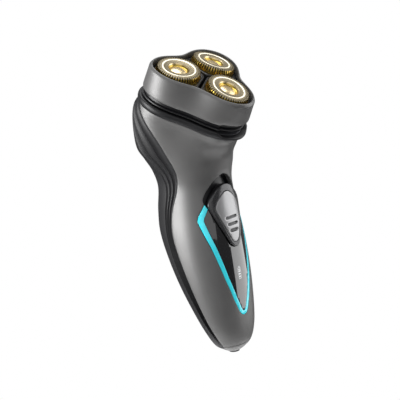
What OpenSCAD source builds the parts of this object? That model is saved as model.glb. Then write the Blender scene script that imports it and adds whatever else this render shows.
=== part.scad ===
// Rotary electric shaver: three floating cutter heads on a flip-open lobed head,
// a waisted handle in two shells, and the drive, battery and controls inside it.
// The origin is the mouth of the charging socket at the base; the panel faces -Y.

/* [Overall] */
// Height of the centre of the shaving plane above the base
head_height = 151; // [130:1:180]
// Forward lean of the head axis from upright, in degrees
head_tilt = 32.5; // [25:0.5:38]
// How far the head centre stands in front of the charging socket
head_reach = 4.9; // [2:0.1:8]
// Width of the grip at its widest
grip_width = 40; // [36:0.5:50]
// Depth of the grip from front to back at its widest
grip_depth = 42.2; // [38:0.2:52]
// Width of the waist under the shoulders
neck_width = 35.4; // [32:0.2:42]

/* [Head] */
// Diameter of a shaving cap
cap_d = 22.6; // [19:0.1:24]
// Gap between neighbouring caps
cap_gap = 3.7; // [2.5:0.1:6]
// Outward tilt of each cap, in degrees
cap_tilt = 6.2; // [0:0.1:8]
// Height of the cap above its holder
cap_rise = 3.4; // [2:0.1:4]
// Thickness of the cap metal
cap_wall = 0.5; // [0.3:0.05:0.8]
// Number of slots in each cap
cap_slots = 30; // [12:1:40]
// Width of the holder rim outside a cap
holder_rim = 1.2; // [0.8:0.1:2]
// Depth of the waists between the three lobes of the head
lobe_depth = 3.9; // [2:0.1:5]
// How much the waists close in at the top of the head ring
top_waist = 1.3; // [0:0.1:2]
// Wall of the head ring
ring_wall = 1.5; // [1:0.1:2.5]
// Height of the head ring
ring_height = 13; // [11:0.5:15]
// Number of blades on a cutter
blades = 9; // [6:1:15]

/* [Drive] */
// Teeth on the motor pinion
pinion_teeth = 12; // [9:3:15]
// Teeth on each drive gear
gear_teeth = 24; // [21:1:27]
// Diameter of the motor can
motor_d = 20; // [16:0.5:22]
// Length of the motor can
motor_len = 18; // [14:0.5:22]
// Diameter of the motor shaft
motor_shaft_d = 2; // [1.5:0.1:3]
// Diameter of a drive spindle
spindle_d = 3; // [2:0.1:4]

/* [Handle] */
// Wall of the handle shells
shell_wall = 2; // [1.4:0.1:2.6]
// Diameter of the battery cell
cell_d = 14.2; // [10:0.1:15]
// Length of the battery cell
cell_len = 49; // [40:0.5:52]
// Bore of the charging socket
socket_d = 3.5; // [2.5:0.1:5]
// Depth of the charging socket's bore
socket_depth = 10; // [6:0.5:12]
// Travel of the power switch
switch_travel = 4.2; // [2:0.1:5]
// Diameter of the head hinge pin
hinge_pin_d = 1.8; // [1.4:0.1:2.4]
// Width of the coloured accent line around the panel
accent_w = 2; // [1:0.1:3]

/* [Hidden] */

$fn = 48;
fit_gap = 0.15;       // between fixed pieces that are assembled side by side
run_gap = 0.05;       // radial clearance of a turning shaft
move_gap = 0.4;       // between pieces that pass each other
part_line = 0.4;      // half of the seam between the handle shells, in degrees

// Head frame: z = 0 is the shaving plane, -y is the front lobe, heights are negative below the plane.
cap_r = cap_d / 2;
cap_pitch = (cap_d + cap_gap) / sqrt(3);
holder_gap = 0.6;
lobe_max = cap_pitch + cap_r + holder_rim + holder_gap + ring_wall;
ring_mean = lobe_max - lobe_depth;
ring_top = -1;
ring_base = ring_top - ring_height;
lip_h = 3;
lip_base = ring_base - lip_h;
collar_top = lip_base - 1.2;
collar_mid = collar_top - 1.4;
rim_z = collar_top - 3.3;              // top edge of the handle shells
collar_bulge = 1;
spigot_h = 1.2;                        // lip of the collar inside the shells' rim
socket_z = -7.4;                       // where the cap axes cross the spindle axes
spindle_pitch = cap_pitch + socket_z * tan(cap_tilt);
gear_module = 2 * spindle_pitch / (pinion_teeth + gear_teeth);
chamber_top = collar_top - 1.2;
chamber_t = 1.4;
chamber_base = chamber_top - chamber_t;
gear_h = 3;
gear_top = chamber_base - 2.6;
gear_base = gear_top - gear_h;
tray_top = gear_base - 1;
tray_t = 1.6;
tray_base = tray_top - tray_t;
motor_top = tray_base - 0.1;
motor_base = motor_top - motor_len;
motor_cap_h = 3;
bridge_top = -11.9;
bridge_t = 1.4;
bridge_base = bridge_top - bridge_t;
waist_z = bridge_top + 0.1;             // the waists start to close in above the bridge
knob_h = 2.2;
hinge_y = lobe_r(180) + 0.7;
hinge_z = lip_base - 0.5;
knuckle_r = hinge_pin_d / 2 + 1;
knuckle_w = 6;
notch_w = 21;                          // thumb notch under the front lobe
notch_rise = 0.8;
head_places = [["front", 0], ["right", 120], ["left", 240]];
holder_t = 5;
holder_base = -cap_rise - holder_t;
sector_gap = 1;
flange_r = cap_r + 0.6;
flange_z = -7;
track_r = 8.3;                         // smooth track between the slotted rim and the dish
cutter_base = -5.2;
socket_half = 2.3;
coupler_nose = 1.8;
coupler_r = 3.2;
coupler_top = -9.9;
coupler_base = chamber_top + 2.2;
spindle_top = -11;
spindle_foot = tray_base + 0.6;
post_r = 2.2;
post_top = bridge_top + 0.6;
stud_r = 1.2;
stud_h = 2.2;
window_r = 7.6;                        // windows that the couplers pass through
screw_pitch = 6;
screw_r = 1;

// Handle frame: sections run from the base (0) to the rim under the collar (last).
hs = head_height / 151;
ds = grip_depth / 42.2;
gw = grip_width / 2;
nw = neck_width / 2;
rim_front = head_point(-lobe_r(0), rim_z);
rim_back = head_point(lobe_r(180), rim_z);
under_front = head_point(-lobe_r(0) + 0.5, rim_z - 4.6);
under_back = head_point(lobe_r(180) + 3.6, rim_z - 6);
// Each row: front y and z, back y and z, half width, share of the lobed outline, angle of the parting line.
sections = [
    [-1 * ds, 5 * hs, 1.1 * ds, 5 * hs, 0.06 * gw, 0, 77],
    [-2.6 * ds, 5.5 * hs, 2.6 * ds, 5.5 * hs, 0.14 * gw, 0, 77],
    [-5.4 * ds, 7.4 * hs, 5.4 * ds, 7.4 * hs, 0.32 * gw, 0, 77],
    [-8 * ds, 10.5 * hs, 8.2 * ds, 10.5 * hs, 0.53 * gw, 0, 78],
    [-9.5 * ds, 16.5 * hs, 11.1 * ds, 16.5 * hs, 0.69 * gw, 0, 82],
    [-10.1 * ds, 25.5 * hs, 15.6 * ds, 25.5 * hs, 0.82 * gw, 0, 86],
    [-10.3 * ds, 40.5 * hs, 23.1 * ds, 40.5 * hs, 0.94 * gw, 0, 89],
    [-9.8 * ds, 55.5 * hs, 29.2 * ds, 55.5 * hs, gw, 0, 92],
    [-8.6 * ds, 70.5 * hs, 33.6 * ds, 70.5 * hs, gw, 0, 95],
    [-6.8 * ds, 82.5 * hs, 33.8 * ds, 82.5 * hs, 0.94 * gw, 0, 91],
    [-6 * ds, 94 * hs, 32.1 * ds, 94.5 * hs, nw, 0, 79],
    [-6.8 * ds, 100 * hs, 33.8 * ds, 103.5 * hs, 1.07 * nw, 0.05, 72],
    [-8.7 * ds, 104.4 * hs, 36.6 * ds, 111.5 * hs, 1.24 * nw, 0.25, 71],
    [-10.9 * ds, 107.9 * hs, 38.2 * ds, 118.5 * hs, 0.89 * lobe_width(), 0.5, 74],
    [-13.2 * ds, 111 * hs, 34.4 * ds, 130 * hs, 0.97 * lobe_width(), 0.75, 86],
    [under_front.x, under_front.y, under_back.x, under_back.y, lobe_width(), 0.92, 103],
    [rim_front.x, rim_front.y, rim_back.x, rim_back.y, lobe_width(), 1, 118]];
last = len(sections) - 1;
base_z = 5 * hs;                        // height of the base in the table of sections
foot = 3;                              // section where the bottom cap meets the shells
roundness = 2.25;                      // exponent of the grip's section

// Panel outlines on the front of the handle: half width and height, from the tip upwards.
panel_half = [[0, 26], [1.6, 26.5], [3.2, 28.4], [6, 35.6], [9.4, 46.9], [13.5, 63.4], [16.2, 76],
    [16.4, 78.2], [15.6, 80.4], [11.9, 86]];
well_half = [[11.9, 86], [12.2, 88.6], [10.6, 92], [6.8, 96.4], [3.4, 98.9], [0, 99.8]];
bezel_half = [[0, 62.2], [2, 62.9], [3.4, 64.8], [6.6, 72], [10.6, 83.6], [10.9, 86], [9.4, 88.6],
    [5, 92.9], [2.4, 94.2], [0, 94.5]];
pad_half = [[0, 64.8], [1.5, 65.3], [2.6, 66.8], [5, 73.2], [7.7, 82], [7.7, 83.8], [6.4, 86.4],
    [2.6, 90.1], [0, 91]];
panel_t = 1.6;
switch_y = -8;                         // where the switch plane meets the handle's front
switch_z = 78 * hs;
switch_lean = 5.9;
well_depth = 3.8;
well_floor = 1;
bezel_rise = 1.3;
bezel_depth = 2.4;
slider_y = well_depth + well_floor + 1.4; // front of the slide switch behind the pan

// Inner frame, leaning back along the handle.
spine_y = 6;
spine_z = 27 * hs;
spine_lean = 8;
cell_r = cell_d / 2;
plate_t = 1.4;
plate_y = -cell_r - 2;
board_y = -5.6 * ds;
board_t = 1.2;
board_z = 28 * hs;
board_h = 30;
icon_z = 48.2 * hs;
pan_half = [[0, 61], [3, 62], [8, 72], [11.6, 82], [12.4, 86], [12.4, 88.8], [10.8, 92.2], [6.9, 96.7],
    [3.5, 99.1], [0, 100]];
peg_half = 1.2;
peg_z = -4.5;
peg_h = 2;
shelf_t = 1.4;
shelf_half = 9 - shell_wall;
contact_t = 1.4;
standoffs = [[-7, 3], [7, 3], [-7, 27], [7, 27]];
// Section, lean and reach of each shell screw on the back line; the upper one ends beside the motor.
shell_screw_places = [[4.3, 26, 6], [12.3, 17, motor_reach(12.3, 17)]];

function lobe_r(angle) = ring_mean + lobe_depth * cos(3 * angle);
function waist(angle, z) = top_waist * (1 - cos(3 * angle))
    * max(0, min(1, (z - waist_z) / (ring_top - 2.2 - waist_z)));
function lobe_width() = max([for (a = [90:2:130]) lobe_r(a) * sin(a)]);
function head_point(y, z) = [
    -head_reach + y * cos(head_tilt) - z * sin(head_tilt),
    head_height + y * sin(head_tilt) + z * cos(head_tilt)];

// Distance of a point from the head axis, towards the back.
function head_y(p) = (p.y + head_reach) * cos(head_tilt) + (p.z - head_height) * sin(head_tilt);
// Depth from the back of the skin, along a leaning screw, to just short of the motor.
function motor_reach(t, lean) =
    (head_y(skin_point(t, 180, 0)) - motor_d / 2 - 1) / cos(lean + head_tilt);

// Smooth curve through the rows of the section list.
function blend(a, b, c, d, f) =
    (2 * f ^ 3 - 3 * f ^ 2 + 1) * b + (f ^ 3 - 2 * f ^ 2 + f) * (c - a) / 2
    + (3 * f ^ 2 - 2 * f ^ 3) * c + (f ^ 3 - f ^ 2) * (d - b) / 2;
function section(t) = let (i = min(floor(t), last - 1))
    blend(sections[max(i - 1, 0)], sections[i], sections[i + 1], sections[min(i + 2, last)], t - i);
function oval_r(a, b, angle) =
    (abs(sin(angle) / a) ^ roundness + abs(cos(angle) / b) ^ roundness) ^ (-1 / roundness);

// Point on the handle's skin at section t and angle from the front, sunk by a depth.
function skin_point(t, angle, depth) = let (
    s = section(t),
    along = [s[2] - s[0], s[3] - s[1]],
    b = norm(along) / 2,
    u = along / (2 * b),
    scale = s[4] / lobe_width(),
    r = (1 - s[5]) * oval_r(s[4], b, angle) + s[5] * scale * lobe_r(angle) - depth,
    v = -r * cos(angle) + s[5] * scale * lobe_depth)
    [r * sin(angle), (s[0] + s[2]) / 2 + v * u[0], (s[1] + s[3]) / 2 + v * u[1]];
function part_angle(t) = section(t)[6];

// Closed sheet over part of the skin. edge(t) gives its first and last angle.
module skin_sheet(t0, t1, rows, cols, edge, outer, inner) {
    function grid(depth) = [for (i = [0:rows], j = [0:cols]) let (
        t = t0 + (t1 - t0) * i / rows, e = edge(t)) skin_point(t, e[0] + (e[1] - e[0]) * j / cols, depth)];
    n = cols + 1;
    m = n * (rows + 1);
    function two(a, b, c, d) = [[a, b, c], [a, c, d]];
    outside = [for (i = [0:rows - 1], j = [0:cols - 1]) let (a = i * n + j)
        each two(a, a + n, a + n + 1, a + 1)];
    inside = [for (i = [0:rows - 1], j = [0:cols - 1]) let (a = m + i * n + j)
        each two(a, a + 1, a + n + 1, a + n)];
    sides = [for (i = [0:rows - 1]) let (a = i * n, b = i * n + cols)
        each concat(two(a, a + m, a + m + n, a + n), two(b, b + n, b + m + n, b + m))];
    ends = [for (j = [0:cols - 1]) let (a = j, b = rows * n + j)
        each concat(two(a, a + 1, a + m + 1, a + m), two(b, b + m, b + m + 1, b + 1))];
    polyhedron(concat(grid(outer), grid(inner)), concat(outside, inside, sides, ends));
}

// Solid column of the handle between two sections.
module skin_column(t0, t1, rows, cols, depth) {
    points = [for (i = [0:rows], j = [0:cols - 1])
        skin_point(t0 + (t1 - t0) * i / rows, 360 * j / cols, depth)];
    wall = [for (i = [0:rows - 1], j = [0:cols - 1]) let (
        a = i * cols + j, b = i * cols + (j + 1) % cols) each [[a, a + cols, b + cols], [a, b + cols, b]]];
    base = [[for (j = [0:cols - 1]) j]];
    top = [[for (j = [0:cols - 1]) (rows + 1) * cols - 1 - j]];
    polyhedron(points, concat(base, top, wall));
}

// Ring that follows the lobed head outline; the profile holds [offset, height] points, anticlockwise.
module lobed_ring(profile, steps = 72) {
    n = len(profile);
    points = [for (k = [0:steps - 1], p = profile)
        let (a = 360 * k / steps, r = lobe_r(a) + p[0] - waist(a, p[1]))
        [r * sin(a), -r * cos(a), p[1]]];
    faces = [for (k = [0:steps - 1], i = [0:n - 1]) let (
        a = k * n + i, b = k * n + (i + 1) % n, k2 = (k + 1) % steps,
        c = k2 * n + (i + 1) % n, d = k2 * n + i) each [[a, b, c], [a, c, d]]];
    polyhedron(points, faces);
}

module lobed_plate(offset_r, z, h, steps = 72, pinch = 0) {
    translate([0, 0, z])
        linear_extrude(h)
            polygon([for (k = [0:steps - 1]) let (a = 360 * k / steps)
                (lobe_r(a) + offset_r - pinch * (1 - cos(3 * a))) * [sin(a), -cos(a)]]);
}

module in_head() {
    translate([0, -head_reach, head_height]) rotate([head_tilt, 0, 0]) children();
}

module at_lobe(angle, pitch) {
    rotate([0, 0, angle]) translate([0, -pitch, 0]) children();
}

module in_cap(angle) {
    in_head() at_lobe(angle, cap_pitch) rotate([cap_tilt, 0, 0]) children();
}

module in_switch() {
    translate([0, switch_y, switch_z]) rotate([-switch_lean, 0, 0]) children();
}

module in_spine() {
    translate([0, spine_y, spine_z]) rotate([-spine_lean, 0, 0]) children();
}

// Prism along Y through the front of the handle, from a half outline.
module front_prism(half, grow = 0, depth = 26) {
    outline = concat([for (p = half) [p[0], p[1] * hs]],
        [for (i = [len(half) - 1:-1:0]) if (half[i][0] > 0) [-half[i][0], half[i][1] * hs]]);
    translate([0, switch_y + depth / 2, 0])
        rotate([90, 0, 0])
            linear_extrude(depth)
                offset(delta = grow)
                    polygon(outline);
}

// Spur gear with plain straight-sided teeth and generous backlash.
module spur(teeth, h, bore_d) {
    pitch_r = gear_module * teeth / 2;
    root_r = pitch_r - 1.25 * gear_module;
    tip_r = pitch_r + 0.85 * gear_module;
    root_half = 0.32 * 360 / teeth;
    pitch_half = 0.19 * 360 / teeth;
    tip_half = 0.09 * 360 / teeth;
    difference() {
        linear_extrude(h)
            polygon([for (k = [0:teeth - 1], q = [[root_r, -root_half], [pitch_r, -pitch_half],
                [tip_r, -tip_half], [tip_r, tip_half], [pitch_r, pitch_half], [root_r, root_half]])
                let (a = 360 * k / teeth + q[1]) q[0] * [sin(a), -cos(a)]]);
        translate([0, 0, -1]) cylinder(d = bore_d, h = h + 2);
    }
}

module head_ring() {
    color("#77787a")
        in_head()
            difference() {
                union() {
                    lobed_ring([[-0.5, ring_base], [0, ring_base + 1.2], [-0.1, ring_top - 2.2],
                        [-0.7, ring_top - 0.6], [-1.1, ring_top], [-ring_wall, ring_top - 0.2],
                        [-ring_wall, waist_z], [-ring_wall, ring_base]]);
                    for (x = [-1, 1])
                        translate([x * (knuckle_w + 0.2), hinge_y, hinge_z])
                            hinge_knuckle(knuckle_w, ring_base - hinge_z + 0.1);
                }
                translate([-notch_w / 2, -lobe_max - 1, ring_base - 1]) cube([notch_w, 8, notch_rise + 1]);
                translate([-knuckle_w / 2 - 0.3, hinge_y - 4, hinge_z - knuckle_r - 1])
                    cube([knuckle_w + 0.6, 8, 2 * knuckle_r + 1.6]);
                hinge_hole();
            }
}

// Barrel of the head hinge with a web that reaches up or down to its shell.
module hinge_knuckle(width, web) {
    rotate([0, 90, 0]) cylinder(r = knuckle_r, h = width, center = true);
    translate([-width / 2, -knuckle_r, 0]) cube([width, 2 * knuckle_r, web + 0.6]);
}

module hinge_hole() {
    translate([0, hinge_y, hinge_z])
        rotate([0, 90, 0])
            cylinder(d = hinge_pin_d + 2 * run_gap, h = 4 * knuckle_w, center = true);
}

module head_lip() {
    color("#17181a")
        in_head()
            difference() {
                lobed_ring([[-1, lip_base], [-0.7, lip_base + 0.3], [-0.7, ring_base - 0.05],
                    [-ring_wall - 0.1, ring_base - 0.05], [-ring_wall - 0.1, bridge_base - 0.1],
                    [-ring_wall - 1.2, bridge_base - 0.1], [-ring_wall - 1.2, lip_base]]);
                translate([-notch_w / 2, -lobe_max - 1, lip_base - 1])
                    cube([notch_w, 6.5, lip_h + 0.8]);
                translate([-1.5 * knuckle_w - 0.8, hinge_y - knuckle_r - 0.4, lip_base - 1])
                    cube([3 * knuckle_w + 1.6, 9, 6]);
            }
}

// Carrier under the cap holders, with the post that the lock knob clamps.
module head_bridge() {
    color("#202123")
        in_head()
            difference() {
                union() {
                    lobed_plate(-ring_wall - fit_gap, bridge_base, bridge_t);
                    translate([0, 0, bridge_base]) cylinder(r = post_r, h = post_top - bridge_base);
                }
                for (p = head_places)
                    at_lobe(p[1], spindle_pitch)
                        translate([0, 0, bridge_base - 1]) cylinder(r = window_r, h = bridge_t + 2);
                translate([0, 0, bridge_base - 1]) cylinder(r = stud_r + run_gap, h = stud_h + 1.4);
            }
}

module lock_knob() {
    color("#2b2c2f")
        in_head() {
            translate([0, 0, bridge_base - 0.1 - knob_h])
                difference() {
                    cylinder(r = 5, h = knob_h);
                    for (a = [0:60:300])
                        rotate([0, 0, a]) translate([5.6, 0, -1]) cylinder(r = 1.2, h = knob_h + 2);
                }
            translate([0, 0, bridge_base - 0.2]) cylinder(r = stud_r, h = stud_h);
        }
}

// Third of the lobed face that carries one cap, bored for the cap and its flange.
module cap_holder(angle) {
    color("#141517")
        difference() {
            intersection() {
                in_head()
                    intersection() {
                        lobed_plate(-ring_wall - holder_gap, holder_base - 4, holder_t + 8, pinch = top_waist);
                        rotate([0, 0, angle]) holder_sector();
                    }
                in_cap(angle) translate([0, 0, holder_base]) cylinder(r = 3 * cap_r, h = holder_t);
            }
            in_cap(angle) {
                translate([0, 0, holder_base - 1]) cylinder(r = cap_r + 0.12, h = holder_t + 2);
                translate([0, 0, holder_base - 1]) cylinder(r = flange_r + 0.1, h = flange_z - holder_base + 1);
            }
        }
}

module holder_sector() {
    span = 2 * lobe_max;
    side = sector_gap / 2;
    translate([0, 0, holder_base - 5])
        linear_extrude(holder_t + 10)
            polygon([[0, -side / sin(60)], [span * sin(60), -side / sin(60) - span * cos(60)],
                [0, -2 * span], [-span * sin(60), -side / sin(60) - span * cos(60)]]);
}

// Cap: slotted rim and skirt, a smooth track between rim and dished centre, and a flange inside the holder.
module shaving_cap(angle) {
    dish_r = 5;
    color("#9c8a66")
        in_cap(angle)
            difference() {
                rotate_extrude()
                    polygon([[0, -1.5], [dish_r - 0.4, -1.5], [dish_r, -1.2], [dish_r + 0.9, 0],
                        [track_r - 0.6, 0], [track_r - 0.4, 0.15], [track_r + 0.4, 0.15], [track_r + 0.6, 0],
                        [cap_r - 0.3, 0], [cap_r, -0.3], [cap_r, flange_z], [flange_r, flange_z],
                        [flange_r, flange_z - 0.8], [cap_r - cap_wall, flange_z - 0.8],
                        [cap_r - cap_wall, -cap_wall], [dish_r + 0.6, -cap_wall], [dish_r - 0.3, -2], [0, -2]]);
                for (k = [0:cap_slots - 1])
                    rotate([0, 0, 360 * k / cap_slots])
                        translate([track_r + 0.9, -0.2, -cap_rise + 0.8])
                            cube([cap_r, 0.4, cap_rise + 1]);
            }
}

// Cutter: a dished wheel of upright blades on a hub with a square socket for its coupler.
module cutter(angle) {
    blade_top = -cap_wall - 0.3;
    color("#b9bcc0")
        in_cap(angle)
            difference() {
                union() {
                    translate([0, 0, cutter_base]) cylinder(r = 9.8, h = 0.8);
                    translate([0, 0, socket_z - 1.4]) cylinder(r = 4.6, h = -3 - socket_z + 1.4);
                    for (k = [0:blades - 1])
                        rotate([0, 0, 360 * k / blades])
                            translate([6.6, -0.5, cutter_base + 0.2]) cube([3.4, 1, blade_top - cutter_base - 0.2]);
                }
                translate([0, 0, socket_z - 2])
                    rotate([0, 0, 45 - angle])
                        translate([-socket_half, -socket_half, 0]) cube([2 * socket_half, 2 * socket_half, 3.2]);
            }
}

module hinge_pin() {
    color("silver")
        in_head()
            translate([0, hinge_y, hinge_z])
                rotate([0, 90, 0])
                    cylinder(d = hinge_pin_d, h = 3 * knuckle_w, center = true);
}

module collar() {
    color("#2a2b2e")
        in_head()
            difference() {
                union() {
                    lobed_ring([[-0.3, rim_z + 0.05], [collar_bulge, collar_mid], [0.2, collar_top],
                        [-2, collar_top], [-2, chamber_base - 0.05], [-shell_wall - 1.6, chamber_base - 0.05],
                        [-shell_wall - 1.6, rim_z - spigot_h], [-shell_wall - 0.8, rim_z - spigot_h],
                        [-shell_wall - 0.6, rim_z + 0.05]]);
                    translate([0, hinge_y, hinge_z]) mirror([0, 0, 1]) hinge_knuckle(knuckle_w, 2);
                }
                hinge_hole();
                for (x = [-1, 1])
                    translate([x * (knuckle_w + 0.2), hinge_y, hinge_z])
                        rotate([0, 90, 0])
                            cylinder(r = knuckle_r + move_gap, h = knuckle_w + 0.5, center = true);
                translate([-notch_w / 2, -lobe_max - 2, collar_top - 0.9]) cube([notch_w, 6, 3]);
            }
}

// Floor of the hair chamber, with a raised boss round each spindle.
module chamber_plate() {
    color("#1c1d1f")
        in_head()
            difference() {
                union() {
                    lobed_plate(-2 - fit_gap, chamber_base, chamber_t);
                    for (p = head_places)
                        at_lobe(p[1], spindle_pitch)
                            translate([0, 0, chamber_base]) cylinder(d = spindle_d + 3, h = chamber_t + 1.6);
                }
                for (p = head_places)
                    at_lobe(p[1], spindle_pitch)
                        translate([0, 0, chamber_base - 1])
                            cylinder(d = spindle_d + 2 * run_gap, h = chamber_t + 4);
            }
}

module chamber_seal() {
    color("#303236")
        in_head()
            lobed_ring([[-shell_wall - 1.75, chamber_base - 1], [-shell_wall - 1.75, chamber_base - 0.05],
                [-shell_wall - 2.9, chamber_base - 0.05], [-shell_wall - 2.9, chamber_base - 1]]);
}

// Drive gear and its spindle in one moulding.
module drive_gear(angle) {
    color("#e8e6df")
        in_head()
            at_lobe(angle, spindle_pitch) {
                translate([0, 0, gear_base])
                    rotate([0, 0, 180 + 180 / gear_teeth]) spur(gear_teeth, gear_h, spindle_d - 0.5);
                translate([0, 0, gear_top - 0.01]) cylinder(d = spindle_d + 2, h = 0.8);
                translate([0, 0, spindle_foot]) cylinder(d = spindle_d, h = spindle_top - spindle_foot);
            }
}

// Square-nosed coupler that drives a cutter; its nose tapers so that the head can swing open.
module coupler(angle) {
    nose = 1.5;
    color("#3a3c40")
        in_head()
            at_lobe(angle, spindle_pitch) {
                difference() {
                    translate([0, 0, coupler_base]) cylinder(r = coupler_r, h = coupler_top - coupler_base);
                    translate([0, 0, coupler_base - 1])
                        cylinder(d = spindle_d + 0.02, h = spindle_top - coupler_base + 1.05);
                }
                rotate([0, 0, 45 - angle])
                    translate([-coupler_nose, -coupler_nose, coupler_top - 0.01])
                        cube([2 * coupler_nose, 2 * coupler_nose, 1.2]);
                translate([0, 0, coupler_top + 1.15])
                    rotate([0, 0, -angle])
                        cylinder(r1 = coupler_nose * sqrt(2), r2 = (coupler_nose - 0.7) * sqrt(2), h = nose,
                            $fn = 4);
            }
}

module motor_pinion() {
    color("#c9a227")
        in_head()
            translate([0, 0, gear_base]) spur(pinion_teeth, gear_h, motor_shaft_d);
}

// Tray under the gears; it seats the spindle feet and carries the motor.
module motor_plate() {
    color("#3b3d42")
        in_head()
            difference() {
                lobed_plate(-shell_wall - 3.2, tray_base, tray_t);
                translate([0, 0, tray_base - 1]) cylinder(r = 4, h = tray_t + 2);
                for (p = head_places)
                    at_lobe(p[1], spindle_pitch)
                        translate([0, 0, tray_base + 0.5]) cylinder(d = spindle_d + 2 * run_gap, h = tray_t);
                for (x = [-1, 1])
                    translate([x * screw_pitch, 0, tray_base - 1]) cylinder(r = screw_r + run_gap, h = tray_t + 2);
            }
}

module motor_can() {
    color("#b5b8bc")
        in_head()
            difference() {
                translate([0, 0, motor_base]) cylinder(d = motor_d, h = motor_len);
                translate([0, 0, motor_base - 1]) cylinder(d = motor_d - 1.6, h = motor_len);
                translate([0, 0, motor_base]) cylinder(d = motor_shaft_d + 2 * run_gap, h = motor_len + 1);
                for (x = [-1, 1])
                    translate([x * screw_pitch, 0, motor_base])
                        cylinder(r = screw_r + run_gap, h = motor_len + 1);
            }
}

module motor_end_cap() {
    color("#e4e4e0")
        in_head()
            difference() {
                translate([0, 0, motor_base - motor_cap_h]) {
                    cylinder(d = motor_d - 1, h = motor_cap_h - 0.05);
                    for (x = [-5, 5]) translate([x - 1, -0.3, -3]) cube([2, 0.6, 4]);
                }
                translate([0, 0, motor_base - motor_cap_h + 1])
                    cylinder(d = motor_shaft_d + 2 * run_gap, h = motor_cap_h);
            }
}

// Armature, commutator and shaft, which turn as one.
module motor_rotor() {
    color("#8c5a2b")
        in_head() {
            translate([0, 0, motor_base + 2]) cylinder(d = motor_d - 5, h = motor_len - 6);
            translate([0, 0, motor_base + 0.4]) cylinder(d = motor_shaft_d + 3, h = 1.65);
            translate([0, 0, motor_base - motor_cap_h + 1.2])
                cylinder(d = motor_shaft_d, h = gear_top - motor_base + motor_cap_h - 1.2);
        }
}

module motor_screws() {
    color("silver")
        in_head()
            for (x = [-1, 1])
                translate([x * screw_pitch, 0, 0]) {
                    translate([0, 0, tray_top + 0.02]) cylinder(r = 1.5, h = 0.6);
                    translate([0, 0, motor_top - 0.75]) cylinder(r = screw_r, h = tray_top - motor_top + 0.78);
                }
}

// Front half of the handle, open in front for the panel and the switch.
module front_shell() {
    color("#6f7173")
        difference() {
            skin_sheet(foot, last, 2 * (last - foot), 20,
                function(t) [-part_angle(t) + part_line, part_angle(t) - part_line], 0, shell_wall);
            front_prism(panel_half, fit_gap);
            front_prism(well_half, fit_gap);
        }
}

module back_cover() {
    color("#232426")
        difference() {
            skin_sheet(foot, last, 2 * (last - foot), 20,
                function(t) [part_angle(t) + part_line, 360 - part_angle(t) - part_line], 0, shell_wall);
            for (place = shell_screw_places)
                back_screw_place(place) cylinder(r = 1.1, h = 2 * shell_wall + 8, center = true);
        }
}

// Place of a shell screw on the back line of the handle, pointing outwards.
module back_screw_place(place) {
    p = skin_point(place[0], 180, 0);
    translate([0, p.y, p.z]) rotate([-90 - place[1], 0, 0]) children();
}

module shell_screws() {
    color("silver")
        for (place = shell_screw_places)
            back_screw_place(place)
                translate([0, 0, -place[2]]) cylinder(r = 1.05, h = place[2] - 1);
}

module bottom_cap() {
    color("#6f7173")
        difference() {
            skin_column(0, foot - 0.02, 9, 40, 0);
            skin_column(1.5, foot + 0.5, 3, 40, shell_wall);
            translate([0, 0, base_z - 1]) cylinder(d = socket_d + 2 + 2 * fit_gap, h = 20);
        }
}

// Part of the skin, sunk by given depths, inside a front outline.
module front_inlay(outer, inner, t0 = 4, t1 = 12, half_angle = 62) {
    skin_sheet(t0, t1, 2 * (t1 - t0), 16, function(t) [-half_angle, half_angle], outer, inner);
}

module accent_ring() {
    color("#3fdcf0")
        difference() {
            intersection() {
                front_inlay(0, panel_t);
                front_prism(panel_half);
            }
            front_prism(panel_half, -accent_w);
            front_prism(well_half, fit_gap);
            front_prism(bezel_half, move_gap);
        }
}

module display_panel() {
    color("#050507")
        difference() {
            intersection() {
                front_inlay(0.1, panel_t);
                front_prism(panel_half, -accent_w - 0.05);
            }
            front_prism(bezel_half, move_gap);
            front_prism(well_half, fit_gap);
            translate([0, switch_y, icon_z]) rotate([90, 0, 0]) cylinder(r = 1.6, h = 12, center = true);
        }
}

// Black pan behind the switch: it follows the skin, open to the front.
module switch_well() {
    color("#0a0a0b")
        difference() {
            intersection() {
                front_prism(pan_half, 1);
                front_inlay(shell_wall + 0.15, well_depth + well_floor, 6, 13);
            }
            intersection() {
                front_prism(pan_half, 0.1);
                front_inlay(0, well_depth, 6, 13);
            }
            in_switch()
                translate([-peg_half - move_gap, 0, peg_z - move_gap])
                    cube([2 * (peg_half + move_gap), well_depth + 3, peg_h + switch_travel + 2 * move_gap]);
        }
}

// Sliding frame of the switch, with the peg that moves the slide switch behind the well.
module switch_bezel() {
    color("#4a4b4d")
        difference() {
            union() {
                intersection() {
                    front_inlay(-bezel_rise, bezel_depth, 7, 12);
                    front_prism(bezel_half);
                }
                in_switch()
                    translate([-peg_half, bezel_depth - 1, peg_z])
                        cube([2 * peg_half, slider_y + 2.5 - bezel_depth, peg_h]);
            }
            intersection() {
                front_inlay(-bezel_rise - 1, 0.3, 7, 12);
                front_prism(pad_half, 0.1);
            }
        }
}

module switch_pad() {
    color("#b4b5b6")
        difference() {
            intersection() {
                front_inlay(-bezel_rise - 0.4, 0.25, 7, 12);
                front_prism(pad_half);
            }
            for (k = [0:2])
                in_switch()
                    translate([0, 0, -1.5 - 3.2 * k])
                        rotate([90, 0, 0])
                            linear_extrude(6)
                                grip_slot(3.2 - 0.6 * k, 0.7);
        }
}

module grip_slot(half, r) {
    translate([-half, -r]) square([2 * half, 2 * r]);
    for (x = [-half, half]) translate([x, 0]) circle(r);
}

module switch_bracket() {
    color("#3b3d42")
        in_switch()
            difference() {
                translate([-9, slider_y + 3.9, -10]) cube([18, 1.2, 20]);
                for (x = [-6, 6])
                    translate([x, slider_y + 3, 6]) rotate([-90, 0, 0]) cylinder(r = 1.1, h = 4);
            }
}

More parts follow.
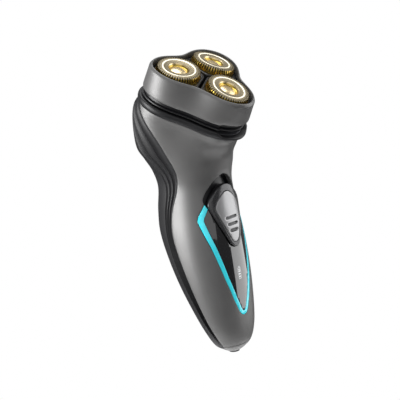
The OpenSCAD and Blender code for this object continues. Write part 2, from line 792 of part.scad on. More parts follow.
module slide_switch() {
    color("#8a8d92")
        in_switch()
            difference() {
                translate([-4, slider_y, peg_z - 2]) cube([8, 3.8, 11]);
                translate([-peg_half - move_gap, slider_y - 1, peg_z - move_gap])
                    cube([2 * (peg_half + move_gap), 3.4, peg_h + switch_travel + 2 * move_gap]);
            }
}

module light_guide() {
    front = skin_point(6.5, 0, 0).y + 0.5;
    color("white")
        translate([0, board_y - 1.1, icon_z])
            rotate([90, 0, 0]) {
                cylinder(r = 1.45, h = board_y - 1.1 - front);
                cylinder(r = 2.4, h = 0.8);
            }
}

module status_leds() {
    color("#fffbe8")
        for (k = [-1:1])
            translate([-0.6, board_y - 0.9, icon_z + 1.5 * k - 0.5]) cube([1.2, 0.85, 1]);
}

module circuit_board() {
    color("#14622f")
        difference() {
            translate([-9.5, board_y, board_z]) cube([19, board_t, board_h]);
            for (p = standoffs)
                translate([p[0], board_y - 1, board_z + p[1]]) rotate([-90, 0, 0]) cylinder(r = 0.9, h = 4);
        }
}

module board_screws() {
    color("silver")
        for (p = standoffs)
            translate([p[0], board_y - 0.65, board_z + p[1]])
                rotate([-90, 0, 0]) {
                    cylinder(r = 1.5, h = 0.6);
                    cylinder(r = 0.8, h = 3.6);
                }
}

// Inner frame: a plate in front of the cell with shelves under and over it, and standoffs for the board.
module chassis() {
    color("#3b3d42")
        difference() {
            union() {
                in_spine() {
                    translate([-10, plate_y, -contact_t - shelf_t - 0.2])
                        cube([20, plate_t, cell_len + contact_t + 16]);
                    translate([-shelf_half, plate_y, -contact_t - shelf_t - 0.2])
                        cube([2 * shelf_half, cell_r - plate_y + 1.6 - 1.5 * shell_wall, shelf_t]);
                    translate([-shelf_half, plate_y, cell_len + contact_t + 0.2])
                        cube([2 * shelf_half, cell_r - plate_y + 3, shelf_t]);
                    for (x = [-1, 1])
                        translate([x * (cell_r + 0.9) - 0.6, plate_y + 1, 4]) cube([1.2, cell_r, cell_len - 8]);
                }
                intersection() {
                    for (p = standoffs)
                        translate([p[0], board_y + board_t + 0.02, board_z + p[1]])
                            rotate([-90, 0, 0]) cylinder(r = 1.8, h = 12);
                    in_spine() translate([-20, plate_y - 20, -20]) cube([40, 20 + plate_t / 2, 100]);
                }
            }
            for (p = standoffs)
                translate([p[0], board_y, board_z + p[1]]) rotate([-90, 0, 0]) cylinder(r = 0.85, h = 3.3);
        }
}

module battery_cell() {
    color("#3c78b4")
        in_spine() {
            cylinder(r = cell_r, h = cell_len - 1);
            translate([0, 0, cell_len - 1]) cylinder(r = 2.8, h = 1);
        }
}

module contact_top() {
    color("gold")
        in_spine()
            translate([0, 0, cell_len + 0.05]) {
                cylinder(r = 5, h = contact_t - 0.1);
                translate([-1.5, plate_y + plate_t + 0.05, 0]) cube([3, cell_r, 0.5]);
            }
}

module contact_bottom() {
    color("gold")
        in_spine()
            translate([0, 0, -contact_t]) {
                cylinder(r = 5, h = contact_t - 0.05);
                translate([-1.5, plate_y + plate_t + 0.05, 0]) cube([3, cell_r, 0.5]);
            }
}

module charge_socket() {
    color("#101112")
        translate([0, 0, base_z])
            difference() {
                union() {
                    cylinder(d = socket_d + 2, h = socket_depth + 2);
                    translate([0, 0, socket_depth - 3]) cylinder(d = socket_d + 4.4, h = 1.6);
                }
                translate([0, 0, -1]) cylinder(d = socket_d, h = socket_depth + 1);
            }
}

module jack_contacts() {
    color("gold")
        for (x = [-1, 1])
            translate([x * (socket_d / 2 + 1.4) - 0.3, -0.8, base_z + socket_depth - 1.2]) cube([0.6, 1.6, 6]);
}

// Puts the mouth of the charging socket at the origin.
module placed() {
    translate([0, 0, -base_z]) children();
}

placed() head_ring();
placed() head_lip();
placed() head_bridge();
placed() lock_knob();
placed() cap_holder(0);  // holder_front
placed() cap_holder(120);  // holder_right
placed() cap_holder(240);  // holder_left
placed() shaving_cap(0);  // cap_front
placed() shaving_cap(120);  // cap_right
placed() shaving_cap(240);  // cap_left
placed() cutter(0);  // cutter_front
placed() cutter(120);  // cutter_right
placed() cutter(240);  // cutter_left
placed() hinge_pin();
placed() collar();
placed() chamber_plate();
placed() chamber_seal();
placed() drive_gear(0);  // gear_front
placed() drive_gear(120);  // gear_right
placed() drive_gear(240);  // gear_left
placed() coupler(0);  // coupler_front
placed() coupler(120);  // coupler_right
placed() coupler(240);  // coupler_left
placed() motor_pinion();
placed() motor_plate();
placed() motor_can();
placed() motor_end_cap();
placed() motor_rotor();
placed() motor_screws();
placed() front_shell();
placed() bottom_cap();
placed() back_cover();
placed() accent_ring();
placed() display_panel();
placed() switch_well();
placed() switch_bezel();
placed() switch_pad();
placed() switch_bracket();
placed() slide_switch();
placed() light_guide();
placed() status_leds();
placed() circuit_board();
placed() board_screws();
placed() chassis();
placed() battery_cell();
placed() contact_top();
placed() contact_bottom();
placed() charge_socket();
placed() jack_contacts();
placed() shell_screws();
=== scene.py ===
"""Looks of a rotary electric shaver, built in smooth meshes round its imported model."""

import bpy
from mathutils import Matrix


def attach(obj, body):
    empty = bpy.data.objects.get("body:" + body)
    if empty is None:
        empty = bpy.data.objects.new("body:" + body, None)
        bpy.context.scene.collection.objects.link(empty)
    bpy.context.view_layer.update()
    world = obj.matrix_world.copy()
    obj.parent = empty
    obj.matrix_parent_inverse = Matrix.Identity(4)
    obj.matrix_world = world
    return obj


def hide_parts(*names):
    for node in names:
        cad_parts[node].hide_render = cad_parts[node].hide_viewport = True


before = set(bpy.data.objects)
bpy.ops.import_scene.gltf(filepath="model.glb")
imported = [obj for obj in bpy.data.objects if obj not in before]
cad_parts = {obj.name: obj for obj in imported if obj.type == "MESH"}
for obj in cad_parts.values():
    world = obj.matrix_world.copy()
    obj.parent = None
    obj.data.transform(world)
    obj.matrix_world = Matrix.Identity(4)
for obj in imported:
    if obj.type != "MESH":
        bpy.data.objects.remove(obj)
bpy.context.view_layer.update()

import logging
import math
from collections.abc import Callable
from dataclasses import dataclass, field
from enum import Enum

import bmesh
import bpy
import numpy as np
from mathutils import Matrix, Vector

LOG = logging.getLogger("shaver")
MM = 0.001  # every builder works in millimetres, and pieces are scaled by this at the end
BASE_Z = 5.0  # height of the socket's mouth in the table of sections, taken off at the end
ARC_MM = 0.35  # millimetres of grip skin for one degree round the handle
LOBES = {"front": 0.0, "right": 120.0, "left": 240.0}
WELD_MM, SOFT_EDGE_MM, SOFT_EDGE_ANGLE = 0.002, 0.12, 50


class Zone(Enum):
    """Material slot of a face on a piece that carries more than one finish."""

    MAIN = 0
    SECOND = 1
    THIRD = 2
    FOURTH = 3
    FIFTH = 4


# --------------------------------------------------------------------------- finishes


def new_material(name: str) -> tuple[bpy.types.Material, bpy.types.Node]:
    """Makes a node material with an empty principled shader.

    Args:
        name: The material's name.

    Returns:
        The material and its principled shader node.
    """
    material = bpy.data.materials.new(name)
    material.use_nodes = True
    return material, material.node_tree.nodes["Principled BSDF"]


@dataclass(frozen=True)
class Texture:
    """Object-space noise that a finish uses for its grain, specks or clouds."""

    scale: float
    detail: float = 3.0
    stretch: tuple[float, float, float] = (1.0, 1.0, 1.0)

    def add(self, tree: bpy.types.NodeTree) -> bpy.types.NodeSocket:
        """Adds the noise to a node tree.

        Args:
            tree: The tree of the material.

        Returns:
            The socket that gives the noise, around 0.5.
        """
        coords = tree.nodes.new("ShaderNodeTexCoord")
        mapping = tree.nodes.new("ShaderNodeMapping")
        mapping.inputs["Scale"].default_value = self.stretch
        noise = tree.nodes.new("ShaderNodeTexNoise")
        noise.inputs["Scale"].default_value = self.scale
        noise.inputs["Detail"].default_value = self.detail
        tree.links.new(coords.outputs["Object"], mapping.inputs["Vector"])
        tree.links.new(mapping.outputs["Vector"], noise.inputs["Vector"])
        return noise.outputs["Fac"]


def remap(tree: bpy.types.NodeTree, value: bpy.types.NodeSocket, low: float, high: float,
          spread: tuple[float, float] = (0.3, 0.7)) -> bpy.types.NodeSocket:
    """Maps noise to a range.

    Args:
        tree: The tree of the material.
        value: The noise.
        low: Result at the noise's low end.
        high: Result at the noise's high end.
        spread: The noise values taken as its two ends.

    Returns:
        The socket with the result.
    """
    node = tree.nodes.new("ShaderNodeMapRange")
    node.inputs["From Min"].default_value = spread[0]
    node.inputs["From Max"].default_value = spread[1]
    node.inputs["To Min"].default_value = low
    node.inputs["To Max"].default_value = high
    tree.links.new(value, node.inputs["Value"])
    return node.outputs["Result"]


@dataclass(frozen=True)
class Finish:
    """A surface finish: base colour with clouding, roughness with wear, and a bumped grain."""

    name: str
    colour: tuple[float, float, float]
    roughness: float
    metallic: float = 0.0
    coat: float = 0.0
    coat_roughness: float = 0.1
    clouding: float = 0.12
    wear: float = 0.06
    grain: Texture = Texture(2600.0)
    grain_mm: float = 0.004
    specular: float = 0.5
    glow: float = 0.0
    # emission strength: light of the status lights and battery mark, painted glow on the cyan
    # outline and painted highlight on the cap ring
    anisotropy: float = 0.0

    def material(self) -> bpy.types.Material:
        """Makes the node material of this finish, once.

        Returns:
            The material.
        """
        found = bpy.data.materials.get(self.name)
        if found:
            return found
        material, shader = new_material(self.name)
        tree = material.node_tree
        clouds = Texture(90.0, 4.0).add(tree)
        mix = tree.nodes.new("ShaderNodeMix")
        mix.data_type = "RGBA"
        dark = [c * (1 - self.clouding) for c in self.colour]
        light = [min(1.0, c * (1 + self.clouding)) for c in self.colour]
        mix.inputs["A"].default_value = (*dark, 1)
        mix.inputs["B"].default_value = (*light, 1)
        tree.links.new(remap(tree, clouds, 0, 1), mix.inputs["Factor"])
        tree.links.new(mix.outputs["Result"], shader.inputs["Base Color"])
        grain = self.grain.add(tree)
        rough = remap(tree, grain, self.roughness - self.wear, self.roughness + self.wear)
        tree.links.new(rough, shader.inputs["Roughness"])
        bump = tree.nodes.new("ShaderNodeBump")
        bump.inputs["Strength"].default_value = 0.6
        bump.inputs["Distance"].default_value = self.grain_mm * MM
        tree.links.new(grain, bump.inputs["Height"])
        tree.links.new(bump.outputs["Normal"], shader.inputs["Normal"])
        shader.inputs["Metallic"].default_value = self.metallic
        shader.inputs["Coat Weight"].default_value = self.coat
        shader.inputs["Coat Roughness"].default_value = self.coat_roughness
        shader.inputs["Specular IOR Level"].default_value = self.specular
        shader.inputs["Anisotropic"].default_value = self.anisotropy
        if self.glow:
            shader.inputs["Emission Color"].default_value = (*self.colour, 1)
            shader.inputs["Emission Strength"].default_value = self.glow
        return material


GRAPHITE = Finish("graphite_lacquer", (0.112, 0.111, 0.11), 0.47, metallic=0.45, coat=0.1,
                  coat_roughness=0.3, clouding=0.04, grain=Texture(5200.0, 2.0), grain_mm=0.003)
GRIP_BLACK = Finish("grip_black", (0.010, 0.010, 0.011), 0.5, clouding=0.15,
                    grain=Texture(3200.0), grain_mm=0.006, specular=0.3)
PLASTIC_BLACK = Finish("moulded_black", (0.006, 0.006, 0.007), 0.38, clouding=0.15,
                       grain=Texture(3000.0), grain_mm=0.004, specular=0.3)
COLLAR_BLACK = Finish("collar_black", (0.009, 0.009, 0.01), 0.42, specular=0.35, clouding=0.1,
                      metallic=0.2)
PANEL_BLACK = Finish("panel_gloss", (0.003, 0.003, 0.004), 0.08, coat=1.0, coat_roughness=0.03,
                     clouding=0.05, wear=0.02, grain=Texture(500.0), grain_mm=0.0005)
# cyan outline with a slight emission though it is no lamp: painted glow over its own cyan
ACCENT_CYAN = Finish("accent_cyan", (0.035, 0.62, 0.72), 0.22, coat=0.5, clouding=0.04,
                     wear=0.03, grain_mm=0.001, glow=0.12)
BEZEL_GREY = Finish("bezel_grey", (0.03, 0.03, 0.032), 0.28, metallic=0.5, coat=0.4,
                    clouding=0.06, grain_mm=0.002)
PAD_SILVER = Finish("pad_silver", (0.3, 0.3, 0.305), 0.36, metallic=0.6, coat=0.15,
                    clouding=0.05, grain=Texture(4200.0, 2.0), grain_mm=0.002)
# dark grey for the floors of the pad's grip slots: painted shade in the grooves
SLOT_PAINTED_SHADE = Finish("slot_painted_shade", (0.05, 0.05, 0.052), 0.4, metallic=0.3, clouding=0.05)
ICON_WHITE = Finish("icon_white", (0.62, 0.63, 0.64), 0.35, glow=0.1, grain_mm=0.001)
CAP_TAN = Finish("cap_tan", (0.22, 0.185, 0.115), 0.45, metallic=0.65, clouding=0.1,
                 grain=Texture(4500.0, 2.0), grain_mm=0.003)
# pale glowing finish of the raised ring on the cap: painted highlight of a polished ring
CAP_RING_PAINTED_HIGHLIGHT = Finish("cap_ring_painted_highlight", (0.95, 0.88, 0.7), 0.3, metallic=0.2, clouding=0.03, grain_mm=0.001,
                   glow=0.25)
CAP_GOLD = Finish("cap_gold", (0.8, 0.55, 0.2), 0.16, metallic=1.0, clouding=0.08, grain_mm=0.001)
# near-black finish for the cap's sunk slots: painted shade standing in for the dark inside the
# slots
CAP_SLOT_PAINTED_SHADE = Finish("cap_slot_painted_shade", (0.022, 0.016, 0.006), 0.5, metallic=0.3, clouding=0.1)
# darker gold of the skirt, also laid on the wall of the centre recess as painted shade
CAP_SKIRT_AND_RECESS_SHADE = Finish("cap_skirt_and_recess_shade", (0.42, 0.29, 0.06), 0.26, metallic=0.95, clouding=0.12)
BLADE_STEEL = Finish("blade_steel", (0.6, 0.6, 0.61), 0.22, metallic=1.0, clouding=0.05)
BRIGHT_STEEL = Finish("bright_steel", (0.72, 0.72, 0.73), 0.14, metallic=1.0, clouding=0.04)
MOTOR_STEEL = Finish("motor_steel", (0.5, 0.51, 0.53), 0.32, metallic=1.0, clouding=0.08,
                     grain=Texture(900.0, 3.0, (1, 1, 12)))
ACETAL = Finish("acetal", (0.78, 0.77, 0.71), 0.4, clouding=0.04, specular=0.45)
BRASS = Finish("turned_brass", (0.66, 0.47, 0.17), 0.22, metallic=1.0)
COPPER = Finish("armature_copper", (0.42, 0.2, 0.09), 0.35, metallic=0.9, clouding=0.2,
                grain=Texture(700.0, 2.0, (1, 1, 6)), grain_mm=0.05)
BOARD_GREEN = Finish("board_green", (0.015, 0.13, 0.05), 0.3, coat=0.3, clouding=0.2)
CELL_BLUE = Finish("cell_sleeve", (0.04, 0.17, 0.4), 0.25, coat=0.4)
GUIDE_CLEAR = Finish("light_guide", (0.85, 0.86, 0.86), 0.3, glow=0.05)
SEAL_RUBBER = Finish("seal_rubber", (0.03, 0.03, 0.033), 0.6, specular=0.3)
FRAME_PLASTIC = Finish("frame_plastic", (0.035, 0.036, 0.04), 0.42, clouding=0.12)


# --------------------------------------------------------------------------- mesh helpers


def finish_piece(bm: bmesh.types.BMesh, name: str, body: str, nodes: tuple[str, ...],
                 finishes: tuple[Finish, ...], crease: float = 38.0,
                 recalculate: bool = True) -> bpy.types.Object:
    """Turns a mesh in millimetres into a shown piece that rides on its body.

    Args:
        bm: The mesh, which is freed.
        name: The piece's name.
        body: The body that it rides on.
        nodes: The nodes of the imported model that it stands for.
        finishes: One finish for each zone of the mesh.
        crease: Angle between faces above which an edge is shaded sharp, in degrees.
        recalculate: Whether its normals are turned outwards.

    Returns:
        The new object.
    """
    bmesh.ops.remove_doubles(bm, verts=bm.verts, dist=1e-4)
    if recalculate:
        bmesh.ops.recalc_face_normals(bm, faces=bm.faces)
    wide = [f for f in bm.faces if len(f.verts) > 4]
    bmesh.ops.triangulate(bm, faces=wide)
    bmesh.ops.translate(bm, vec=(0, 0, -BASE_Z), verts=bm.verts)
    bmesh.ops.scale(bm, vec=(MM, MM, MM), verts=bm.verts)
    mesh = bpy.data.meshes.new(name)
    bm.to_mesh(mesh)
    bm.free()
    mesh.shade_smooth()
    mesh.set_sharp_from_angle(angle=math.radians(crease))
    for finish in finishes:
        mesh.materials.append(finish.material())
    piece = bpy.data.objects.new(name, mesh)
    bpy.context.scene.collection.objects.link(piece)
    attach(piece, body)
    if nodes:
        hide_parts(*nodes)
    LOG.info("%s: %d faces, rides on %s, stands for %s", name, len(mesh.polygons), body, nodes)
    return piece


def verts_of(found: dict) -> list[bmesh.types.BMVert]:
    """Returns the vertices in an operator's result."""
    return [g for g in found["geom"] if isinstance(g, bmesh.types.BMVert)]


def loft(bm: bmesh.types.BMesh, loops: list[list[Vector]], closed: bool = False,
         fill_first: bool = False, fill_last: bool = False) -> None:
    """Adds a skin through closed loops of points by extruding the first one on to each next one.

    Args:
        bm: The mesh to add to.
        loops: Loops with equal counts of points.
        closed: Whether the last loop is bridged to the first.
        fill_first: Whether the first loop is closed with a face.
        fill_last: Whether the last loop is closed with a face.
    """
    order = bm.verts.layers.int.get("order") or bm.verts.layers.int.new("order")
    verts = [bm.verts.new(p) for p in loops[0]]
    for i, v in enumerate(verts):
        v[order] = i
    edges = [bm.edges.new((v, verts[(i + 1) % len(verts)])) for i, v in enumerate(verts)]
    first = list(edges)
    for loop in loops[1:]:
        found = bmesh.ops.extrude_edge_only(bm, edges=edges)
        for v in verts_of(found):
            v.co = loop[v[order]]
        edges = [g for g in found["geom"] if isinstance(g, bmesh.types.BMEdge)
                 and not any(v in verts for v in g.verts)]
        verts = verts_of(found)
    if closed:
        bmesh.ops.bridge_loops(bm, edges=first + edges)
    if fill_first:
        bmesh.ops.contextual_create(bm, geom=first)
    if fill_last:
        bmesh.ops.contextual_create(bm, geom=edges)


def transform_new(bm: bmesh.types.BMesh, before: int, matrix: Matrix) -> None:
    """Transforms the vertices added since there were a number of them.

    Args:
        bm: The mesh.
        before: The count of vertices to leave alone.
        matrix: The transform.
    """
    bm.verts.ensure_lookup_table()
    bmesh.ops.transform(bm, matrix=matrix, verts=bm.verts[before:])


def smoothstep(low: float, high: float, x: float) -> float:
    """Returns 0 below low, 1 above high and a smooth rise between."""
    f = min(1.0, max(0.0, (x - low) / (high - low)))
    return f * f * (3 - 2 * f)


# --------------------------------------------------------------------------- shape of the shaver


@dataclass(frozen=True)
class HeadPlace:
    """Sizes and place of the lobed head. Its own frame has the shaving plane at height 0."""

    height: float = 151.0
    tilt: float = 32.5
    reach: float = 4.9
    cap_d: float = 22.6
    cap_gap: float = 3.7
    cap_tilt: float = 6.2
    holder_rim: float = 1.2
    holder_gap: float = 0.6
    wall: float = 1.5
    lobe_depth: float = 3.9
    top_waist: float = 1.3

    @property
    def cap_pitch(self) -> float:
        """Distance of each cap from the head axis."""
        return (self.cap_d + self.cap_gap) / math.sqrt(3)

    @property
    def lobe_max(self) -> float:
        """Largest radius of the head ring."""
        return self.cap_pitch + self.cap_d / 2 + self.holder_rim + self.holder_gap + self.wall

    @property
    def ring_mean(self) -> float:
        """Mean radius of the head ring."""
        return self.lobe_max - self.lobe_depth

    def side(self, angle: float) -> float:
        """Returns how far to the side the lobed outline is at an angle."""
        return self.lobe_r(angle) * math.sin(math.radians(angle))

    def lobe_r(self, angle: float) -> float:
        """Returns the radius of the lobed outline at an angle from the front, in degrees."""
        return self.ring_mean + self.lobe_depth * math.cos(math.radians(3 * angle))

    def outline(self, angle: float, offset: float, z: float) -> Vector:
        """Finds a point of the lobed outline, whose waists close in towards the ring's top.

        Args:
            angle: Degrees from the front.
            offset: How far outside the outline, in millimetres.
            z: Height in the head's own frame.

        Returns:
            The point, in the head's own frame.
        """
        rise = smoothstep(-12.5, -2.6, z)
        pinch = self.top_waist * rise * (1 - math.cos(math.radians(3 * angle)))
        r, a = self.lobe_r(angle) + offset - pinch, math.radians(angle)
        return Vector((r * math.sin(a), -r * math.cos(a), z))

    def matrix(self) -> Matrix:
        """Returns the transform from the head's own frame to the shaver's."""
        place = Matrix.Translation((0, -self.reach, self.height))
        return place @ Matrix.Rotation(math.radians(self.tilt), 4, "X")

    def cap_matrix(self, angle: float) -> Matrix:
        """Places a cap's own frame, which has the cap's top at height 0.

        Args:
            angle: The lobe's angle from the front, in degrees.

        Returns:
            The transform to the shaver's frame.
        """
        turn = Matrix.Rotation(math.radians(angle), 4, "Z")
        lean = Matrix.Rotation(math.radians(self.cap_tilt), 4, "X")
        return self.matrix() @ turn @ Matrix.Translation((0, -self.cap_pitch, 0)) @ lean

    def side_point(self, y: float, z: float) -> tuple[float, float]:
        """Returns the shaver's y and z for a point of the head's middle plane."""
        point = self.matrix() @ Vector((0, y, z))
        return point.y, point.z


HEAD = HeadPlace()
RING_TOP, RING_BASE = -1.0, -14.0
LIP_BASE = -17.0
COLLAR_TOP, RIM_Z = -18.2, -21.5
NOTCH_HALF, NOTCH_RISE = 10.5, 0.8
HINGE_Y, HINGE_Z = HEAD.lobe_r(180) + 0.7, LIP_BASE - 0.5


@dataclass
class HandleSkin:
    """Outer surface of the handle: sections from the base to the rim under the head."""

    grip: float = 20.0
    neck: float = 17.7
    roundness: float = 2.25
    rows: np.ndarray = field(init=False)
    heights: np.ndarray = field(init=False)
    steps: np.ndarray = field(init=False)

    def __post_init__(self) -> None:
        """Lays out the sections.

        Each row holds front y and z, back y and z, half width, lobed share and parting angle.
        """
        wide = self.lobe_width
        under_front = HEAD.side_point(-HEAD.lobe_r(0) + 0.94, RIM_Z - 3.3)
        under_back = HEAD.side_point(HEAD.lobe_r(180) + 3.6, RIM_Z - 6)
        rim_front = HEAD.side_point(-HEAD.lobe_r(0), RIM_Z)
        rim_back = HEAD.side_point(HEAD.lobe_r(180), RIM_Z)
        grip, neck = self.grip, self.neck
        self.rows = np.array([
            [-1, 5, 1.1, 5, 0.06 * grip, 0, 77],
            [-2.6, 5.5, 2.6, 5.5, 0.14 * grip, 0, 77],
            [-5.4, 7.4, 5.4, 7.4, 0.32 * grip, 0, 77],
            [-8, 10.5, 8.2, 10.5, 0.53 * grip, 0, 78],
            [-9.5, 16.5, 11.1, 16.5, 0.69 * grip, 0, 82],
            [-10.1, 25.5, 15.6, 25.5, 0.82 * grip, 0, 86],
            [-10.3, 40.5, 23.1, 40.5, 0.94 * grip, 0, 89],
            [-9.8, 55.5, 29.2, 55.5, grip, 0, 92],
            [-8.6, 70.5, 33.6, 70.5, grip, 0, 95],
            [-6.8, 82.5, 33.8, 82.5, 0.94 * grip, 0, 91],
            [-6, 94, 32.1, 94.5, neck, 0, 79],
            [-6.8, 100, 33.8, 103.5, 1.07 * neck, 0.05, 72],
            [-8.7, 104.4, 36.6, 111.5, 1.24 * neck, 0.25, 71],
            [-10.5, 108.1, 38.2, 118.5, 0.89 * wide, 0.5, 74],
            [-12.5, 112.2, 34.4, 130, 0.97 * wide, 0.75, 86],
            [*under_front, *under_back, wide, 0.92, 103],
            [*rim_front, *rim_back, wide, 1, 118]])
        self.steps = np.linspace(0, self.last, 40 * self.last + 1)
        self.heights = np.array([self.height_of(t) for t in self.steps])

    @property
    def last(self) -> int:
        """Number of the section at the rim."""
        return len(self.rows) - 1

    @property
    def lobe_width(self) -> float:
        """Half width of the lobed outline."""
        return max(HEAD.side(a) for a in range(90, 131, 2))

    def section(self, t: float) -> np.ndarray:
        """Blends the rows into a smooth section.

        Args:
            t: The place, where 0 is the first row and 1 the second.

        Returns:
            The section's seven values, in the order of the rows.
        """
        i = min(int(t), self.last - 1)
        f = t - i
        a, b, c, d = (self.rows[k] for k in (max(i - 1, 0), i, i + 1, min(i + 2, self.last)))
        return ((2 * f**3 - 3 * f**2 + 1) * b + (f**3 - 2 * f**2 + f) * (c - a) / 2
                + (3 * f**2 - 2 * f**3) * c + (f**3 - f**2) * (d - b) / 2)

    def height_of(self, t: float) -> float:
        """Returns the mean height of a section, which grows with t."""
        s = self.section(t)
        return (s[1] + s[3]) / 2

    def at_height(self, height: float) -> float:
        """Returns the section at a mean height."""
        return float(np.interp(height, self.heights, self.steps))

    def parting(self, t: float) -> float:
        """Returns the angle of the line where the front shell meets the back cover."""
        return float(self.section(t)[6])

    def point(self, t: float, angle: float, depth: float = 0.0) -> Vector:
        """Finds a point of the skin.

        Args:
            t: The section.
            angle: Degrees from the front towards +x.
            depth: How far under the skin, in millimetres.

        Returns:
            The point, in millimetres.
        """
        s = self.section(t)
        along_y, along_z = s[2] - s[0], s[3] - s[1]
        b = math.hypot(along_y, along_z) / 2
        scale = s[4] / self.lobe_width
        sine, cosine = math.sin(math.radians(angle)), math.cos(math.radians(angle))
        n = self.roundness
        oval = (abs(sine / s[4]) ** n + abs(cosine / b) ** n) ** (-1 / n)
        r = (1 - s[5]) * oval + s[5] * scale * HEAD.lobe_r(angle) - depth
        v = -r * cosine + s[5] * scale * HEAD.lobe_depth
        return Vector((r * sine, (s[0] + s[2]) / 2 + v * along_y / (2 * b),
                       (s[1] + s[3]) / 2 + v * along_z / (2 * b)))

    def unroll(self, x: float, z: float) -> tuple[float, float]:
        """Finds where a point seen from the front lies on the unrolled skin.

        Args:
            x: Its x.
            z: Its height.

        Returns:
            Distance round the skin from the front line, and the mean height of its section.
        """
        t, angle = self.at_height(z), math.degrees(math.asin(min(0.95, abs(x) / self.grip)))
        for _ in range(12):
            here = self.point(t, angle)
            by_t = (self.point(t + 0.01, angle) - here) / 0.01
            by_angle = (self.point(t, angle + 0.1) - here) / 0.1
            grid = np.array([[by_t.x, by_angle.x], [by_t.z, by_angle.z]])
            step = np.linalg.solve(grid, [x - here.x, z - here.z])
            t, angle = min(15.9, max(0.1, t + step[0])), angle + step[1]
        return angle * ARC_MM, self.height_of(t)

    def rolled(self, flat: Vector) -> Vector:
        """Returns the place on the handle of a flat point: round the skin, depth, mean height."""
        return self.point(self.at_height(flat.z), flat.x / ARC_MM, flat.y)


SKIN = HandleSkin()


@dataclass(frozen=True)
class HalfOutline:
    """Half of an outline on the front of the handle, from the middle line outwards and upwards."""

    points: tuple[tuple[float, float], ...]
    rounding: float = 6.0
    sharp: tuple[tuple[int, float], ...] = ()

    def corners(self, offset: float) -> list[Vector]:
        """Moves every side outwards.

        Args:
            offset: How far, in millimetres.

        Returns:
            The corners where the moved sides meet.
        """
        points = [Vector(p) for p in self.points]
        sides = []
        for a, b in zip(points, points[1:]):
            along = (b - a).normalized()
            shift = Vector((along.y, -along.x)) * offset
            sides.append((a + shift, b + shift))
        moved = [self._end(sides[0], points[0], 0)]
        for (a, b), (c, d) in zip(sides, sides[1:]):
            moved.append(self._cross(a, b, c, d) or (b + c) / 2)
        moved.append(self._end(sides[-1], points[-1], 1))
        return moved

    @staticmethod
    def _cross(a: Vector, b: Vector, c: Vector, d: Vector) -> Vector | None:
        """Crosses the lines a-b and c-d.

        Args:
            a: A point of the first line.
            b: Another point of it.
            c: A point of the second line.
            d: Another point of it.

        Returns:
            Where they meet, or None where they are parallel.
        """
        r, s = b - a, d - c
        turn = r.x * s.y - r.y * s.x
        if abs(turn) < 1e-6:
            return None
        f = ((c.x - a.x) * s.y - (c.y - a.y) * s.x) / turn
        return a + r * f

    @classmethod
    def _end(cls, side: tuple[Vector, Vector], point: Vector, which: int) -> Vector:
        """Finds an end of a moved side, kept on the middle line if it was there.

        Args:
            side: The two ends of the moved side.
            point: The end before the move.
            which: 0 for the first end, 1 for the last.

        Returns:
            The end after the move.
        """
        if abs(point.x) > 1e-6:
            return side[which]
        return cls._cross(*side, Vector((0, -500)), Vector((0, 500))) or Vector((0, side[which].y))

    def path(self, offset: float = 0.0, steps: int = 6) -> list[Vector]:
        """Gives the outline with its corners rounded.

        Args:
            offset: How far it is moved outwards.
            steps: Number of sides of each rounded corner, an even number.

        Returns:
            Points from the first end to the last.
        """
        corners = self.corners(offset)
        ring = list(corners)
        if abs(corners[0].x) < 1e-6:
            ring.insert(0, Vector((-corners[1].x, corners[1].y)))
        if abs(corners[-1].x) < 1e-6:
            ring.append(Vector((-corners[-2].x, corners[-2].y)))
        tight = dict(self.sharp)
        shift = len(ring) > len(corners) and abs(corners[0].x) < 1e-6
        made = [] if shift else [ring[0]]
        for k in range(1, len(ring) - 1):
            before, corner, after = ring[k - 1], ring[k], ring[k + 1]
            radius = max(0.15, tight.get(k - 1 if shift else k, self.rounding))
            made += self._round(before, corner, after, radius, steps)
        if abs(corners[-1].x) > 1e-6:
            made.append(ring[-1])
        return [p for p in made if p.x > -1e-5]

    @staticmethod
    def _round(before: Vector, corner: Vector, after: Vector, radius: float,
               steps: int) -> list[Vector]:
        """Rounds a corner.

        Args:
            before: The corner before it.
            corner: The corner.
            after: The corner after it.
            radius: The radius of the rounding, in millimetres.
            steps: Number of sides of the rounding.

        Returns:
            The points of the rounded corner.
        """
        one, two = (before - corner), (after - corner)
        reach = 0.46 * min(one.length, two.length)
        one.normalize(), two.normalize()
        turn = math.pi - one.angle(two)
        cut = min(reach, radius * math.tan(turn / 2))
        if cut < 1e-3:
            return [corner]
        start, end = corner + one * cut, corner + two * cut
        made = []
        for i in range(steps + 1):
            f = i / steps
            made.append(start * (1 - f) ** 2 + corner * 2 * f * (1 - f) + end * f**2)
        return made


def cut_between(path: list[Vector], fence: list[Vector]) -> tuple[list[Vector], list[Vector]]:
    """Follows a path up to the fence.

    Args:
        path: Points from its start.
        fence: Another path that it crosses.

    Returns:
        The path up to the crossing, and the fence up to the crossing, each with the crossing last.
    """
    for i, (a, b) in enumerate(zip(path, path[1:])):
        for j, (c, d) in enumerate(zip(fence, fence[1:])):
            r, s = b - a, d - c
            turn = r.x * s.y - r.y * s.x
            if abs(turn) < 1e-12:
                continue
            f = ((c.x - a.x) * s.y - (c.y - a.y) * s.x) / turn
            g = ((c.x - a.x) * r.y - (c.y - a.y) * r.x) / turn
            if 0 <= f <= 1 and 0 <= g <= 1:
                meet = a + r * f
                return path[:i + 1] + [meet], fence[:j + 1] + [meet]
    return path, fence


